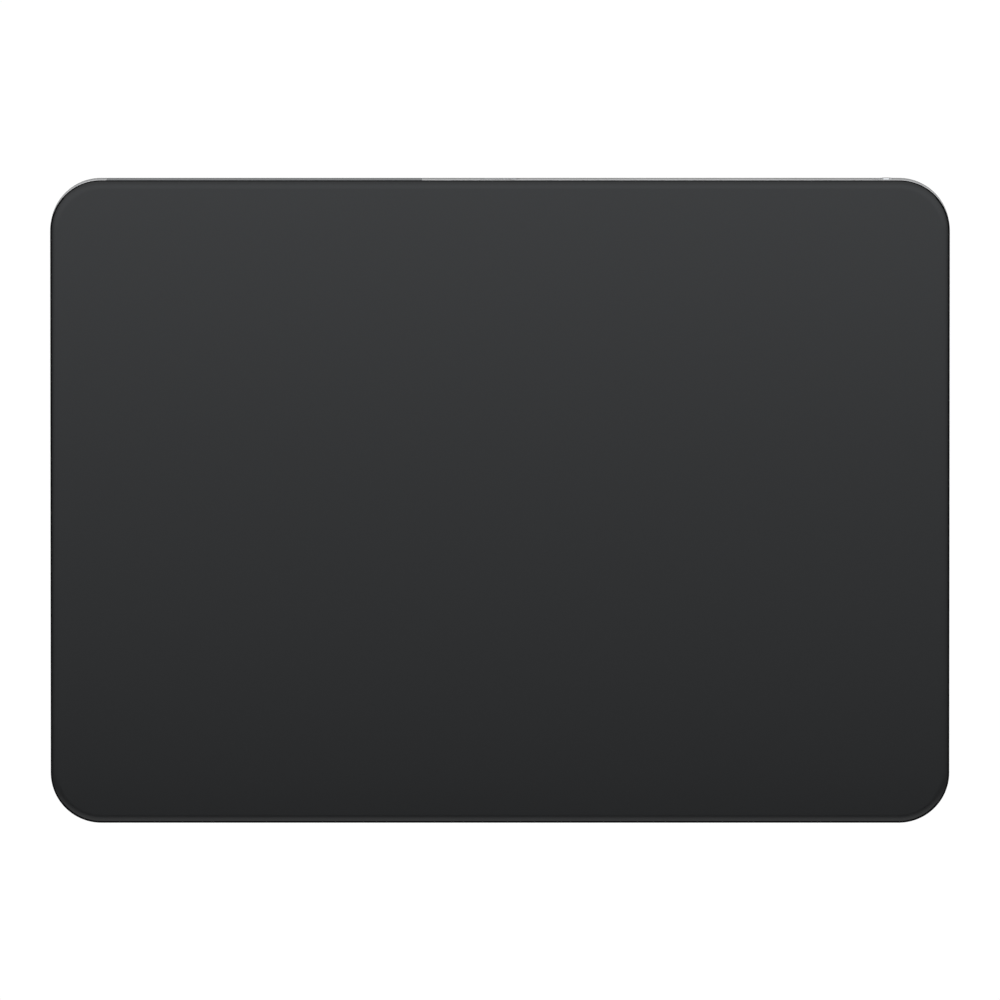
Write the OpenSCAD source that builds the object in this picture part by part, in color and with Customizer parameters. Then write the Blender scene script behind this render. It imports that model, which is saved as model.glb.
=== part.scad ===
// Wireless desk trackpad: a glass touch surface bonded to a wedge-shaped aluminium case.
// The origin is on the desk under the middle of the case. +X is right, +Y is the rear, +Z is up.
// All sizes are in millimetres.

/* [Body] */
// Width of the case, left to right
body_w = 160; // [150:1:180]
// Depth of the case, front to rear
body_d = 114.9; // [112:0.1:130]
// Height of the touch surface above the desk at the front edge
front_h = 4.9; // [4.8:0.1:6]
// Height of the touch surface above the desk at the rear edge
rear_h = 10.9; // [10.5:0.1:13]
// Radius of the four corners seen from above
corner_r = 9; // [7:0.5:11]
// Rounding where the walls turn into the underside
edge_r = 1.5; // [1.2:0.1:2.6]
// Thickness of the walls
wall_t = 2; // [1.6:0.1:2.3]
// Thickness of the floor
floor_t = 1; // [0.8:0.1:1.2]
// Gap between the underside and the desk
foot_drop = 0.6; // [0.5:0.1:0.9]

/* [Glass and touch sensor] */
// Thickness of the glass
glass_t = 1; // [0.8:0.1:1.2]
// How far the glass stands in from the walls
glass_inset = 0.03; // [0.02:0.01:0.3]
// Radius of the gentle curve along the glass's upper border
glass_curve_r = 2.8; // [2:0.1:3.2]
// Angle that the curve turns through before the edge's own rounding takes over
glass_curve_turn = 30; // [15:1:35]
// Radius of the rounding at the glass's edge
glass_edge_r = 0.35; // [0.2:0.05:0.4]
// Thickness of the adhesive between glass and case
adhesive_t = 0.15; // [0.1:0.05:0.25]
// How far the adhesive stands in from the walls' outer and inner faces
adhesive_inset = 0.35; // [0.2:0.05:0.5]
// Thickness of the touch sensor board under the glass
sensor_t = 0.6; // [0.4:0.1:0.8]
// Thickness of the stiffener plate under the sensor board
stiffener_t = 0.6; // [0.4:0.1:0.8]

/* [Rear edge] */
// Height of the charging port and of the power switch above the desk
rear_feature_z = 5.5; // [5.3:0.1:6]
// Width of the charging port's opening
port_w = 7.2; // [6.5:0.1:9]
// Height of the charging port's opening
port_h = 2.4; // [2:0.1:2.6]
// Depth of the charging port behind the wall
port_depth = 7; // [6:0.1:7.5]
// Length of the power switch's slot
slot_w = 4.3; // [4:0.1:5]
// Height of the power switch's slot
slot_h = 2; // [1.6:0.1:2.2]
// Gap from the corner's arc to the slot
slot_gap = 1.15; // [1:0.05:3]
// Length of the power switch's knob
knob_w = 2.05; // [1.8:0.05:2.4]
// How far the knob stands out of the wall
knob_proud = 0.2; // [0.1:0.05:0.4]
// Chamfer round the knob's end
knob_chamfer = 0.12; // [0.05:0.01:0.2]
// Play between the knob and its slot, on each side
knob_play = 0.1; // [0.05:0.01:0.2]
// Width of the antenna window
window_w = 56; // [40:0.5:60]
// Gap from the corner's arc to the antenna window
window_gap = 1.1; // [1.05:0.05:4]
// Chamfer round the mouths of the port and the slot
mouth_chamfer = 0.2; // [0.1:0.05:0.3]

/* [Feet and force sensors] */
// Diameter of the rubber feet
foot_d = 13; // [11:0.5:13.4]
// Distance of the feet's centres from the case's sides
foot_inset = 17; // [16.5:0.5:19]
// Play around each foot in its pocket
foot_play = 0.3; // [0.2:0.05:0.4]
// Depth of the foot pockets in the underside
pocket_depth = 0.6; // [0.55:0.05:0.8]
// Thickness of the case above each pocket
roof_t = 0.8; // [0.6:0.1:1]
// Thickness of the rubber feet
foot_t = 1; // [0.9:0.05:1]
// Diameter of the stud that passes from each foot to its force sensor
stud_d = 3; // [2.4:0.1:3.4]
// Length of the sprung plate that carries each force sensor
flexure_l = 18.8; // [18.4:0.1:20]
// Width of the sprung plate
flexure_w = 6.5; // [5:0.1:7]
// Thickness of the sprung plate
flexure_t = 0.5; // [0.3:0.05:0.6]
// Clear height under the sprung plate
flexure_lift = 0.3; // [0.2:0.05:0.4]

/* [Haptic engine] */
// Centre of the haptic engine, from the middle of the case
haptic_y = -4; // [-6:0.5:-2]
// Inside length of the engine's frame
haptic_l = 62; // [60:0.5:66]
// Inside width of the engine's frame
haptic_w = 23; // [22.5:0.5:24]
// Height of the engine's frame
haptic_h = 2.6; // [2.5:0.1:2.8]
// Sheet thickness of the frame
haptic_sheet = 0.4; // [0.3:0.05:0.5]
// Thickness of the driving coils
coil_t = 0.8; // [0.5:0.1:0.8]
// Length of the moving carriage
carriage_l = 46; // [45:0.5:47]
// Width of the moving carriage
carriage_w = 20; // [19:0.5:20.5]
// Thickness of the moving carriage
carriage_t = 1; // [0.8:0.05:1]
// Gap between carriage and coils
air_gap = 0.2; // [0.15:0.05:0.25]
// Thickness of the leaf springs
leaf_t = 0.2; // [0.15:0.05:0.3]

/* [Battery] */
// Thickness of the battery cells
cell_t = 4.1; // [3:0.1:4.3]
// Channel between the two cells
cell_channel = 8; // [7:0.5:12]
// Thickness of the tape under the cells
tape_t = 0.15; // [0.1:0.05:0.3]
// Depth of the protection boards behind the cells
guard_d = 2.8; // [2:0.1:3]

/* [Logic board] */
// Depth of the logic board
board_d = 8.6; // [8.4:0.1:9]
// Thickness of the logic board
board_t = 0.8; // [0.6:0.1:0.9]
// Gap from the logic board to the rear wall's inner face
board_gap = 1.4; // [1.2:0.1:1.6]
// Length of the logic board behind the antenna window
board_lap = 26; // [25:1:30]

/* [Fasteners and flexible circuits] */
// Diameter of the screws' shanks
screw_d = 1.3; // [1:0.05:1.4]
// Diameter of the screws' heads
screw_head_d = 2.4; // [2:0.1:2.6]
// Height of the screws' heads
screw_head_t = 0.4; // [0.3:0.05:0.45]
// Play of a screw in its hole, on the radius
screw_play = 0.05; // [0.03:0.01:0.1]
// Thickness of the flexible circuits
flex_t = 0.12; // [0.08:0.02:0.16]

/* [Hidden] */
$fn = 96;
eps = 0.01;
clear = 1;                                        // how far a cutting shape runs past what it cuts
corner_names = ["front_left", "front_right", "rear_left", "rear_right"];
corner_sides = [[-1, -1], [1, -1], [-1, 1], [1, 1]];

tilt = atan2(rear_h - front_h, body_d);           // slope of the touch surface
mid_h = (front_h + rear_h) / 2;
glass_d = body_d / cos(tilt);                     // depth of the outline along the slope
glass_shift = glass_t / 2 * tan(tilt);            // keeps the glass's square edges over the walls
rim_depth = glass_t + adhesive_t;                 // depths are measured square to the touch surface
sensor_depth = glass_t;
stiffener_depth = sensor_depth + sensor_t;
under_depth = stiffener_depth + stiffener_t;

floor_z = foot_drop + floor_t;
cavity_w = body_w - 2 * wall_t;
cavity_d = body_d - 2 * wall_t;
cavity_r = corner_r - wall_t;
slope_cavity_d = cavity_d / cos(tilt);
cavity_edge_r = max(edge_r - floor_t, 0.5);
rear_y = body_d / 2;
rear_inner_y = cavity_d / 2;
sensor_margin = 1;                                // sensor board's edge to the cavity's wall
stiffener_margin = 3;                             // stiffener's edge to the cavity's wall
stiffener_opening = [0.13 * cavity_w, 0.33 * cavity_d];
foam_pad = 8;
foam_places = [[0.28 * cavity_w, -0.22 * cavity_d], [0.115 * cavity_w, -0.31 * cavity_d]];

foot_x = body_w / 2 - foot_inset;
foot_y = body_d / 2 - foot_inset;
pocket_d = foot_d + 2 * foot_play;
pocket_roof_z = foot_drop + pocket_depth;
foot_boss_d = pocket_d + 2 * roof_t;
boss_top_z = pocket_roof_z + roof_t;
flexure_z = boss_top_z + flexure_lift;
pedestal_l = 3.6;
flexure_screw_x = flexure_l / 2 - pedestal_l / 2;
stud_head_d = 9;
stud_head_t = 0.4;
stud_play = 0.2;
floor_bite = 0.7;                                 // how far screws reach into the floor's bosses
post_bite = 1.7;                                  // how far screws reach into the board's posts
hole_spare = 0.2;                                 // room under a screw's end
insert_play = 0.05;                               // play of a bonded insert in its recess

haptic_lift = 0.3;                                // height of the pads that the engine stands on
haptic_z = floor_z + haptic_lift;
haptic_outer_l = haptic_l + 2 * haptic_sheet;
haptic_outer_w = haptic_w + 2 * haptic_sheet;
ear_l = 5;
ear_w = 6;
ear_x = haptic_outer_l / 2 + ear_l / 2;
ear_y = haptic_w / 2 - ear_w / 2;
coil_z = haptic_z + haptic_sheet;
carriage_z = coil_z + coil_t + air_gap;
coil_l = 18;
coil_leg = 7;
coil_x = 12;
magnet_l = 7;
magnet_w = 17;
magnet_xs = [-17, -7, 7, 17];

window_x0 = -body_w / 2 + corner_r + window_gap;
window_x1 = window_x0 + window_w;
window_z0 = foot_drop + edge_r;
window_lip = 1;
window_lip_t = 0.8;

board_y1 = rear_inner_y - board_gap;
board_y0 = board_y1 - board_d;
port_wall = 0.3;
port_shell_w = port_w + 2 * port_wall;
port_shell_h = port_h + 2 * port_wall;
board_top_z = rear_feature_z - port_shell_h / 2;
board_z = board_top_z - board_t;
board_post_d = 3.4;
port_back = 1.6;                                  // thickness of the port's rear wall
bracket_t = 0.3;
bracket_foot = 3.2;
bracket_d = 4;
bracket_y = rear_inner_y - port_depth / 2;
port_screw_x = port_shell_w / 2 + bracket_t + bracket_foot / 2;

slot_x = body_w / 2 - corner_r - slot_gap - slot_w / 2;
switch_travel = slot_w - knob_w - 2 * knob_play;
knob_x = slot_x + switch_travel / 2;              // the knob rests at the right end of its slot
shutter_lap = 0.3;                                // shutter past the slot's ends at both ends of its travel
shutter_t = 0.8;
shutter_gap = 0.25;
shutter_w = slot_w + switch_travel + 2 * shutter_lap;
shutter_h = slot_h + 2 * shutter_gap;
shutter_y = rear_inner_y - shutter_gap - shutter_t;
lever_w = 1;
lever_h = 0.8;
lever_l = 2.2;
lever_play = 0.2;
housing_w = 6;
housing_d = 4;
housing_gap = 0.9;                                // switch housing to shutter
housing_y1 = shutter_y - housing_gap;
board_x0 = window_x1 - board_lap;
board_margin = 0.3;                               // board past the switch's housing
board_x1 = slot_x + housing_w / 2 + board_margin;
board_screw_in = 7;                               // first screw to the board's left end
board_screw_out = 9;                              // last screw to the board's right end
board_screw_xs = [board_x0 + board_screw_in, 0.48 * board_x1, board_x1 - board_screw_out];
board_screws = [for (x = board_screw_xs) [x, board_y0 + screw_head_d]];
force_connector_w = 3;
force_connector_in = 2;                           // connector's middle to the board's left end
force_connector_xs = [board_x0 + force_connector_in, board_x1 - 2 * force_connector_in];
shield_margin = 0.6;                              // radio's shield to the board's front edge
shield_back = 0.5;                                // radio's shield to the antenna's carrier
shield_gap = 2.8;                                 // first screw's head to the radio's shield
shield_l = 12;
shield_h = 1.3;
shield_sheet = 0.2;
shield_x0 = board_screw_xs[0] + screw_head_d / 2 + shield_gap;
chip_t = 0.9;
radio_chip_w = 3.4;
charge_chip_w = 3.2;
main_chip_w = 6.5;
touch_chip_w = 6;

carrier_t = 1.8;
carrier_h = 3.4;
carrier_y = rear_inner_y - window_lip_t;          // the carrier stands against the window's inner face
carrier_lift = 0.4;                               // carrier above the logic board
carrier_z = board_top_z + carrier_lift;

cell_side_gap = 2.4;                              // cell to the sprung plate beside it
cell_front_gap = 5;                               // cell to the haptic engine
cell_x0 = cell_channel / 2;
cell_x1 = foot_x - flexure_l / 2 - cell_side_gap;
cell_y0 = haptic_y + haptic_outer_w / 2 + cell_front_gap;
guard_w = 28;
guard_t = 0.8;
guard_lift = 0.3;                                 // protection board above the cell's underside
guard_gap = 0.6;                                  // protection board to logic board
cell_y1 = board_y0 - guard_d - guard_gap;
cell_z = floor_z + tape_t;
tape_w = 8;
tape_inset = 6;
lead_x = cell_x0 + 0.4 * (cell_x1 - cell_x0);     // middle of the protection boards and their leads
lead_w = 4;
rib_t = 0.8;
rib_h = 1.2;
rib_gap = 0.2;

sensor_flex_x = 0.31 * board_x1;
sensor_flex_w = 12;
sensor_fold_in = 1.2;                             // fold's centre behind the board's front edge
sensor_flex_v = board_y0 / cos(tilt) + sensor_fold_in;
flex_entry = 2.6;                                 // connector on the board to the board's front edge
flex_entry_y = board_y0 + flex_entry;
connector_t = 1.1;
under_connector_t = 0.6;
under_entry = 0.2;                                // connectors under the board to its front edge
under_entry_y = board_y0 + under_entry;
connector_d = 3.2;
force_flex_w = 3;
force_branch_w = 2;                               // branch from the circuit to each force sensor
force_wall_gap = 0.3;
force_boss_gap = 0.2;
force_flex_x = cavity_w / 2 - cavity_edge_r - force_wall_gap - force_flex_w / 2;
force_flex_y = foot_y + foot_boss_d / 2 + force_boss_gap + force_flex_w / 2;

// Shared shapes

// Places children on the touch surface's slope, that far below the surface.
module on_slope(depth = 0) {
    translate([0, 0, mid_h]) rotate([tilt, 0, 0]) translate([0, 0, -depth]) children();
}

// Everything higher than that depth below the touch surface.
module above_slope(depth) {
    on_slope(depth) translate([-body_w, -body_d, 0]) cube([2 * body_w, 2 * body_d, rear_h]);
}

module rounded_rect(w, d, r) {
    square([w - 2 * r, d], center = true);
    square([w, d - 2 * r], center = true);
    for (x = [-1, 1], y = [-1, 1]) translate([x * (w / 2 - r), y * (d / 2 - r)]) circle(r);
}

// A slot shape with round ends.
module stadium(w, h) {
    square([w - h, h], center = true);
    for (x = [-1, 1]) translate([x * (w - h) / 2, 0]) circle(h / 2);
}

// A stadium along Y, from y0 to y1, centred on x and z.
module stadium_bar(w, h, x, z, y0, y1) {
    translate([x, y1, z]) rotate([90, 0, 0]) linear_extrude(y1 - y0) stadium(w, h);
}

// A stadium along Y, of length l, whose outline grows on all sides by that much towards the rear.
module stadium_taper(w, h, grow, l) {
    straight = w - h;
    for (s = [-1, 1]) translate([s * straight / 2, 0, 0]) rotate([-90, 0, 0])
        cylinder(r1 = h / 2, r2 = h / 2 + grow, h = l);
    rotate([90, 0, 90]) linear_extrude(straight, center = true)
        polygon([[0, -h / 2], [l, -h / 2 - grow], [l, h / 2 + grow], [0, h / 2]]);
}

// Chamfer round a stadium-shaped mouth in the rear wall.
module mouth_flare(w, h, x) {
    flare = mouth_chamfer + eps;
    translate([x, rear_y - mouth_chamfer, rear_feature_z]) stadium_taper(w, h, flare, flare);
}

module box(x0, x1, y0, y1, z0, z1) {
    translate([x0, y0, z0]) cube([x1 - x0, y1 - y0, z1 - z0]);
}

// A rounded rectangular slab whose border has the child's profile,
// drawn from x = 0 at the corner's axis to x = r at the wall.
module swept_slab(w, d, r, h) {
    inner_w = w - 2 * r;
    inner_d = d - 2 * r;
    translate([-inner_w / 2, -inner_d / 2, 0]) cube([inner_w, inner_d, h]);
    for (i = [0 : 3]) {
        along = i % 2 == 0 ? inner_d : inner_w;
        out = i % 2 == 0 ? inner_w : inner_d;
        rotate(90 * i) translate([out / 2, along / 2, 0]) {
            rotate_extrude(angle = 90) children();
            rotate([90, 0, 0]) linear_extrude(along) children();
        }
    }
}

// Profile of a wall of height h whose lower outer edge is rounded.
module rounded_foot_profile(r, h, edge) {
    difference() {
        square([r, h]);
        difference() {
            translate([r - edge, -clear]) square([edge + clear, edge + clear]);
            translate([r - edge, edge]) circle(edge);
        }
    }
}

// Profile of a plate of thickness h whose upper border curves down through an angle
// and then runs smoothly into a tighter rounding at the edge.
module curved_border_profile(r, h, curve, turn, edge) {
    curve_x = r - edge - (curve - edge) * sin(turn);
    edge_z = h - curve + (curve - edge) * cos(turn);
    difference() {
        square([r, h]);
        difference() {
            translate([curve_x, edge_z]) square([r - curve_x + clear, h - edge_z + clear]);
            translate([curve_x, h - curve]) intersection() {
                circle(curve);
                polygon([[0, 0], [0, 2 * curve], 2 * curve * [sin(turn), cos(turn)]]);
            }
            translate([r - edge, edge_z]) circle(edge);
        }
    }
}

// Screw with a low head that stands on z = 0 and a shank that reaches down.
module screw(length) {
    drive_l = 0.6 * screw_head_d;
    drive_w = 0.12 * screw_head_d;
    drive_h = screw_head_t / 2;
    difference() {
        union() {
            cylinder(d = screw_head_d, h = screw_head_t);
            translate([0, 0, -length]) cylinder(d = screw_d, h = length + screw_head_t / 2);
        }
        for (a = [0, 90]) rotate(a) translate([-drive_l / 2, -drive_w / 2, screw_head_t - drive_h])
            cube([drive_l, drive_w, drive_h + clear]);
    }
}

module screw_hole(depth) {
    translate([0, 0, -depth]) cylinder(r = screw_d / 2 + screw_play, h = depth + clear);
}

function segment_normal(a, b) = let (d = b - a) [-d[1], d[0]] / norm(d);
function mitre(p, i) =
    let (last = len(p) - 1)
    i == 0 ? segment_normal(p[0], p[1]) :
    i == last ? segment_normal(p[last - 1], p[last]) :
    let (m = segment_normal(p[i - 1], p[i]) + segment_normal(p[i], p[i + 1])) 2 * m / (m * m);
function ribbon_outline(p, t) = concat(
    [for (i = [0 : len(p) - 1]) p[i] + mitre(p, i) * t / 2],
    [for (i = [len(p) - 1 : -1 : 0]) p[i] - mitre(p, i) * t / 2]
);

// A flat ribbon that follows points given as [y, z], centred on x.
module ribbon(p, w, x) {
    translate([x, 0, 0]) rotate([90, 0, 90]) linear_extrude(w, center = true)
        polygon(ribbon_outline(p, flex_t));
}

module at_feet() {
    for (c = corner_sides) translate([c[0] * foot_x, c[1] * foot_y, 0]) children();
}

module at_flexure_screws() {
    at_feet() for (s = [-1, 1]) translate([s * flexure_screw_x, 0, flexure_z]) children();
}

module at_haptic_screws() {
    for (x = [-1, 1], y = [-1, 1]) translate([x * ear_x, haptic_y + y * ear_y, haptic_z]) children();
}

module at_board_screws() {
    for (p = board_screws) translate([p[0], p[1], board_z]) children();
}

module at_port_screws() {
    for (s = [-1, 1]) translate([s * port_screw_x, bracket_y, board_z]) children();
}

// Case and glass

module case_shell() {
    wall_h = rear_h - foot_drop;
    difference() {
        translate([0, 0, foot_drop]) swept_slab(body_w, body_d, corner_r, wall_h)
            rounded_foot_profile(corner_r, wall_h, edge_r);
        translate([0, 0, floor_z]) swept_slab(cavity_w, cavity_d, cavity_r, wall_h)
            rounded_foot_profile(cavity_r, wall_h, cavity_edge_r);
    }
}

module case_bosses() {
    at_feet() {
        translate([0, 0, floor_z - eps]) cylinder(d = foot_boss_d, h = boss_top_z - floor_z + eps);
        for (s = [-1, 1]) translate([s * flexure_screw_x - pedestal_l / 2, -flexure_w / 2, floor_z - eps])
            cube([pedestal_l, flexure_w, flexure_z - floor_z + eps]);
    }
    at_haptic_screws() translate([0, 0, -haptic_lift - eps]) cylinder(d = ear_l, h = haptic_lift + eps);
    post_h = board_z - floor_z + eps;
    at_board_screws() translate([0, 0, -post_h]) cylinder(d = board_post_d, h = post_h);
    at_port_screws() translate([0, 0, -post_h]) cylinder(d = board_post_d, h = post_h);
    for (s = [-1, 1]) battery_ribs(s);
}

// Low ribs in front of a cell and at its outer end.
module battery_ribs(side) {
    outer = cell_x1 + rib_gap + rib_t;
    front = cell_y0 - rib_gap - rib_t;
    mirror([side > 0 ? 0 : 1, 0, 0]) {
        box(cell_x0, outer, front, front + rib_t, floor_z - eps, floor_z + rib_h);
        box(outer - rib_t, outer, front, cell_y1 - pedestal_l, floor_z - eps, floor_z + rib_h);
    }
}

module lower_case() color("silver") difference() {
    union() {
        case_shell();
        case_bosses();
    }
    above_slope(rim_depth);
    at_feet() {
        translate([0, 0, foot_drop - clear]) cylinder(d = pocket_d, h = pocket_depth + clear);
        cylinder(d = stud_d + 2 * stud_play, h = flexure_z);
    }
    at_flexure_screws() screw_hole(floor_bite + hole_spare);
    at_haptic_screws() screw_hole(floor_bite + hole_spare);
    at_board_screws() screw_hole(post_bite + hole_spare);
    at_port_screws() screw_hole(post_bite + hole_spare);
    stadium_bar(port_w, port_h, 0, rear_feature_z, rear_inner_y - eps, rear_y + clear);
    mouth_flare(port_w, port_h, 0);
    stadium_bar(slot_w, slot_h, slot_x, rear_feature_z, rear_inner_y - eps, rear_y + clear);
    mouth_flare(slot_w, slot_h, slot_x);
    box(window_x0, window_x1, rear_inner_y - eps, rear_y + clear, window_z0, rear_h);
}

module antenna_window() color("gray") difference() {
    union() {
        box(window_x0, window_x1, rear_inner_y - eps, rear_y, window_z0, rear_h);
        box(window_x0 - window_lip, window_x1 + window_lip,
            rear_inner_y - window_lip_t, rear_inner_y, window_z0, rear_h);
    }
    above_slope(rim_depth);
}

module touch_glass() color("dimgray") on_slope(glass_t) translate([0, -glass_shift, 0])
    swept_slab(body_w - 2 * glass_inset, glass_d - 2 * glass_inset, corner_r, glass_t)
        curved_border_profile(corner_r, glass_t, glass_curve_r, glass_curve_turn, glass_edge_r);

module glass_adhesive() color("black") on_slope(rim_depth) linear_extrude(adhesive_t) difference() {
    outer = 2 * adhesive_inset;
    inner = 2 * (wall_t - adhesive_inset);
    rounded_rect(body_w - outer, glass_d - outer, corner_r - adhesive_inset);
    rounded_rect(body_w - inner, glass_d - inner, corner_r - wall_t + adhesive_inset);
}

module touch_sensor_board() color("darkgreen") on_slope(stiffener_depth) linear_extrude(sensor_t)
    rounded_rect(cavity_w - 2 * sensor_margin, slope_cavity_d - 2 * sensor_margin, cavity_r - sensor_margin);

module stiffener_plate() color("lightgray") on_slope(under_depth) linear_extrude(stiffener_t) difference() {
    plate_w = cavity_w - 2 * stiffener_margin;
    plate_d = slope_cavity_d - 2 * stiffener_margin;
    rounded_rect(plate_w, plate_d, cavity_r - stiffener_margin);
    notch_x = foot_x - flexure_l / 2 - 1;
    notch_y = foot_y - flexure_w / 2 - 1.5;
    for (c = corner_sides) translate([c[0] * (notch_x + plate_w / 2), c[1] * (notch_y + plate_d / 2)])
        square([plate_w, plate_d], center = true);
    translate([sensor_flex_x, board_y0 - 4 + plate_d / 2])
        square([sensor_flex_w + 4, plate_d], center = true);
    for (s = [-1, 1]) translate([s * (notch_x + 6), 4])
        rounded_rect(stiffener_opening[0], stiffener_opening[1], 4);
}

module foam_supports() color("dimgray") difference() {
    for (p = foam_places, s = [-1, 1])
        translate([s * p[0] - foam_pad / 2, p[1] - foam_pad / 2, floor_z])
            cube([foam_pad, foam_pad, rear_h]);
    above_slope(under_depth);
}

// Flexible circuit folded back from the sensor board's underside to the logic board.
module sensor_flex() color("orange") {
    leg = 4;
    steps = 16;
    flex_z = board_top_z + connector_t / 2;
    depth = stiffener_depth + flex_t / 2;
    slope_start = [depth * sin(tilt), mid_h - depth * cos(tilt)];
    slope_way = [cos(tilt), sin(tilt)];
    fold_from = slope_start + sensor_flex_v * slope_way;
    fold_r = (fold_from[1] - flex_z) / (1 + cos(tilt));
    fold_centre = [fold_from[0] + fold_r * sin(tilt), flex_z + fold_r];
    fold = [for (i = [0 : steps]) let (a = 90 + tilt + (180 - tilt) * i / steps)
        fold_centre + fold_r * [cos(a), sin(a)]];
    ribbon(concat([fold_from + leg * slope_way], fold, [[flex_entry_y, flex_z]]),
        sensor_flex_w, sensor_flex_x);
}

// Part of a ring between two angles, for folds of up to half a turn.
module fold_ring(r, t, a0, a1) {
    reach = 4 * r;
    mid = (a0 + a1) / 2;
    intersection() {
        difference() {
            circle(r + t / 2);
            circle(r - t / 2);
        }
        polygon([[0, 0], for (a = [a0, mid, a1]) reach * [cos(a), sin(a)]]);
    }
}

// Logic board and antenna

module logic_board() color("darkgreen") difference() {
    box(board_x0, board_x1, board_y0, board_y1, board_z, board_top_z);
    at_board_screws() translate([0, 0, board_t]) screw_hole(board_t + clear);
    at_port_screws() translate([0, 0, board_t]) screw_hole(board_t + clear);
}

// Square chips as [x, width]: the radio under its shield, the charger, the processor and the touch controller.
module board_chips() color("black") {
    mid_y = (board_y0 + board_y1) / 2;
    radio = [shield_x0 + shield_l / 2, radio_chip_w];
    charger = [0.17 * board_x1, charge_chip_w];
    processor = [0.605 * board_x1, main_chip_w];
    touch = [0.73 * board_x1, touch_chip_w];
    for (c = [radio, charger, processor, touch])
        translate([c[0] - c[1] / 2, mid_y - c[1] / 2, board_top_z]) cube([c[1], c[1], chip_t]);
}

module radio_shield() color("silver") {
    x1 = shield_x0 + shield_l;
    y0 = board_y0 + shield_margin;
    y1 = carrier_y - carrier_t - shield_back;
    top = board_top_z + shield_h;
    difference() {
        box(shield_x0, x1, y0, y1, board_top_z, top);
        box(shield_x0 + shield_sheet, x1 - shield_sheet, y0 + shield_sheet, y1 - shield_sheet,
            board_top_z - clear, top - shield_sheet);
    }
}

module under_connector(x, w) {
    box(x - w / 2, x + w / 2, under_entry_y, under_entry_y + connector_d,
        board_z - under_connector_t, board_z);
}

module board_connectors() color("ivory") {
    box(sensor_flex_x - sensor_flex_w / 2 - 1, sensor_flex_x + sensor_flex_w / 2 + 1,
        flex_entry_y, flex_entry_y + connector_d, board_top_z, board_top_z + connector_t);
    under_connector(0, lead_w + 2);
    for (s = [-1, 1]) under_connector(s * lead_x, lead_w + 2);
    for (x = force_connector_xs) box(x - force_connector_w / 2, x + force_connector_w / 2,
        force_flex_y - force_flex_w / 2, force_flex_y + force_flex_w / 2, floor_z + flex_t, board_z);
}

module board_screws() color("silver") at_board_screws() translate([0, 0, board_t])
    screw(board_t + post_bite);

module antenna_carrier() color("ivory") box(window_x0 + window_lip, window_x1 - window_lip,
    carrier_y - carrier_t, carrier_y, carrier_z, carrier_z + carrier_h);

// Meandering radiator on the carrier's front face, with a tail down to the logic board.
module antenna_element() color("goldenrod") {
    trace = 0.7;
    pitch = 3.2;
    margin = 6;
    teeth = floor((window_w - 2.5 * margin - trace) / pitch);
    edge = 0.5;
    h = carrier_h - 2 * edge;
    z0 = carrier_z + edge;
    drop = z0 - board_top_z;
    translate([window_x0 + margin, carrier_y - carrier_t, z0]) rotate([90, 0, 0]) linear_extrude(flex_t) {
        for (i = [0 : teeth]) translate([i * pitch, 0]) square([trace, h]);
        for (i = [0 : teeth - 1]) translate([i * pitch, i % 2 == 0 ? 0 : h - trace])
            square([pitch + trace, trace]);
        translate([teeth * pitch, -drop]) square([trace, drop + trace]);
    }
}

// Charging port

module charge_port_shell() color("silver") difference() {
    stadium_bar(port_shell_w, port_shell_h, 0, rear_feature_z, rear_inner_y - port_depth, rear_inner_y);
    stadium_bar(port_w, port_h, 0, rear_feature_z, rear_inner_y - port_depth - clear, rear_inner_y + clear);
}

module port_tray_outline(w, h) {
    intersection() {
        stadium(w, h);
        translate([-w / 2, -h / 2]) square([w, h / 4]);
    }
}

module charge_port_insulator() color("black") {
    y0 = rear_inner_y - port_depth;
    tray_l = port_depth - 0.6;
    w = port_w - 2 * insert_play;
    h = port_h - 2 * insert_play;
    stadium_bar(w, h, 0, rear_feature_z, y0, y0 + port_back);
    translate([0, y0 + tray_l, rear_feature_z]) rotate([90, 0, 0]) linear_extrude(tray_l - port_back + eps)
        port_tray_outline(w, h);
}

module charge_port_contacts() color("gold") {
    count = 8;
    contact_w = 0.32;
    contact_l = 3.6;
    contact_h = 0.2;
    pitch = 0.62;
    z = rear_feature_z - port_h / 2 + insert_play + (port_h - 2 * insert_play) / 4;
    y0 = rear_inner_y - port_depth + port_back;
    for (i = [0 : count - 1]) translate([(i - (count - 1) / 2) * pitch - contact_w / 2, y0, z])
        cube([contact_w, contact_l, contact_h]);
}

// Strap over the port with a screwed foot on each side.
module port_bracket() color("lightgray") difference() {
    half = port_shell_w / 2 + bracket_t;
    top = rear_feature_z + port_shell_h / 2 + bracket_t;
    y0 = bracket_y - bracket_d / 2;
    y1 = bracket_y + bracket_d / 2;
    union() {
        box(-half, half, y0, y1, top - bracket_t, top);
        for (s = [-1, 1]) mirror([s > 0 ? 0 : 1, 0, 0]) {
            box(half - bracket_t, half, y0, y1, board_top_z, top);
            box(half - bracket_t, half + bracket_foot, y0, y1, board_top_z, board_top_z + bracket_t);
        }
    }
    at_port_screws() cylinder(r = screw_d / 2 + screw_play, h = board_t + bracket_t + clear);
}

module port_screws() color("silver") at_port_screws() translate([0, 0, board_t + bracket_t])
    screw(board_t + bracket_t + post_bite);

// Battery

module at_cells() {
    for (s = [-1, 1]) mirror([s > 0 ? 0 : 1, 0, 0]) children();
}

module battery_cells() color("dimgray") at_cells()
    translate([(cell_x0 + cell_x1) / 2, (cell_y0 + cell_y1) / 2, cell_z]) linear_extrude(cell_t)
        rounded_rect(cell_x1 - cell_x0, cell_y1 - cell_y0, 1.5);

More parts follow.
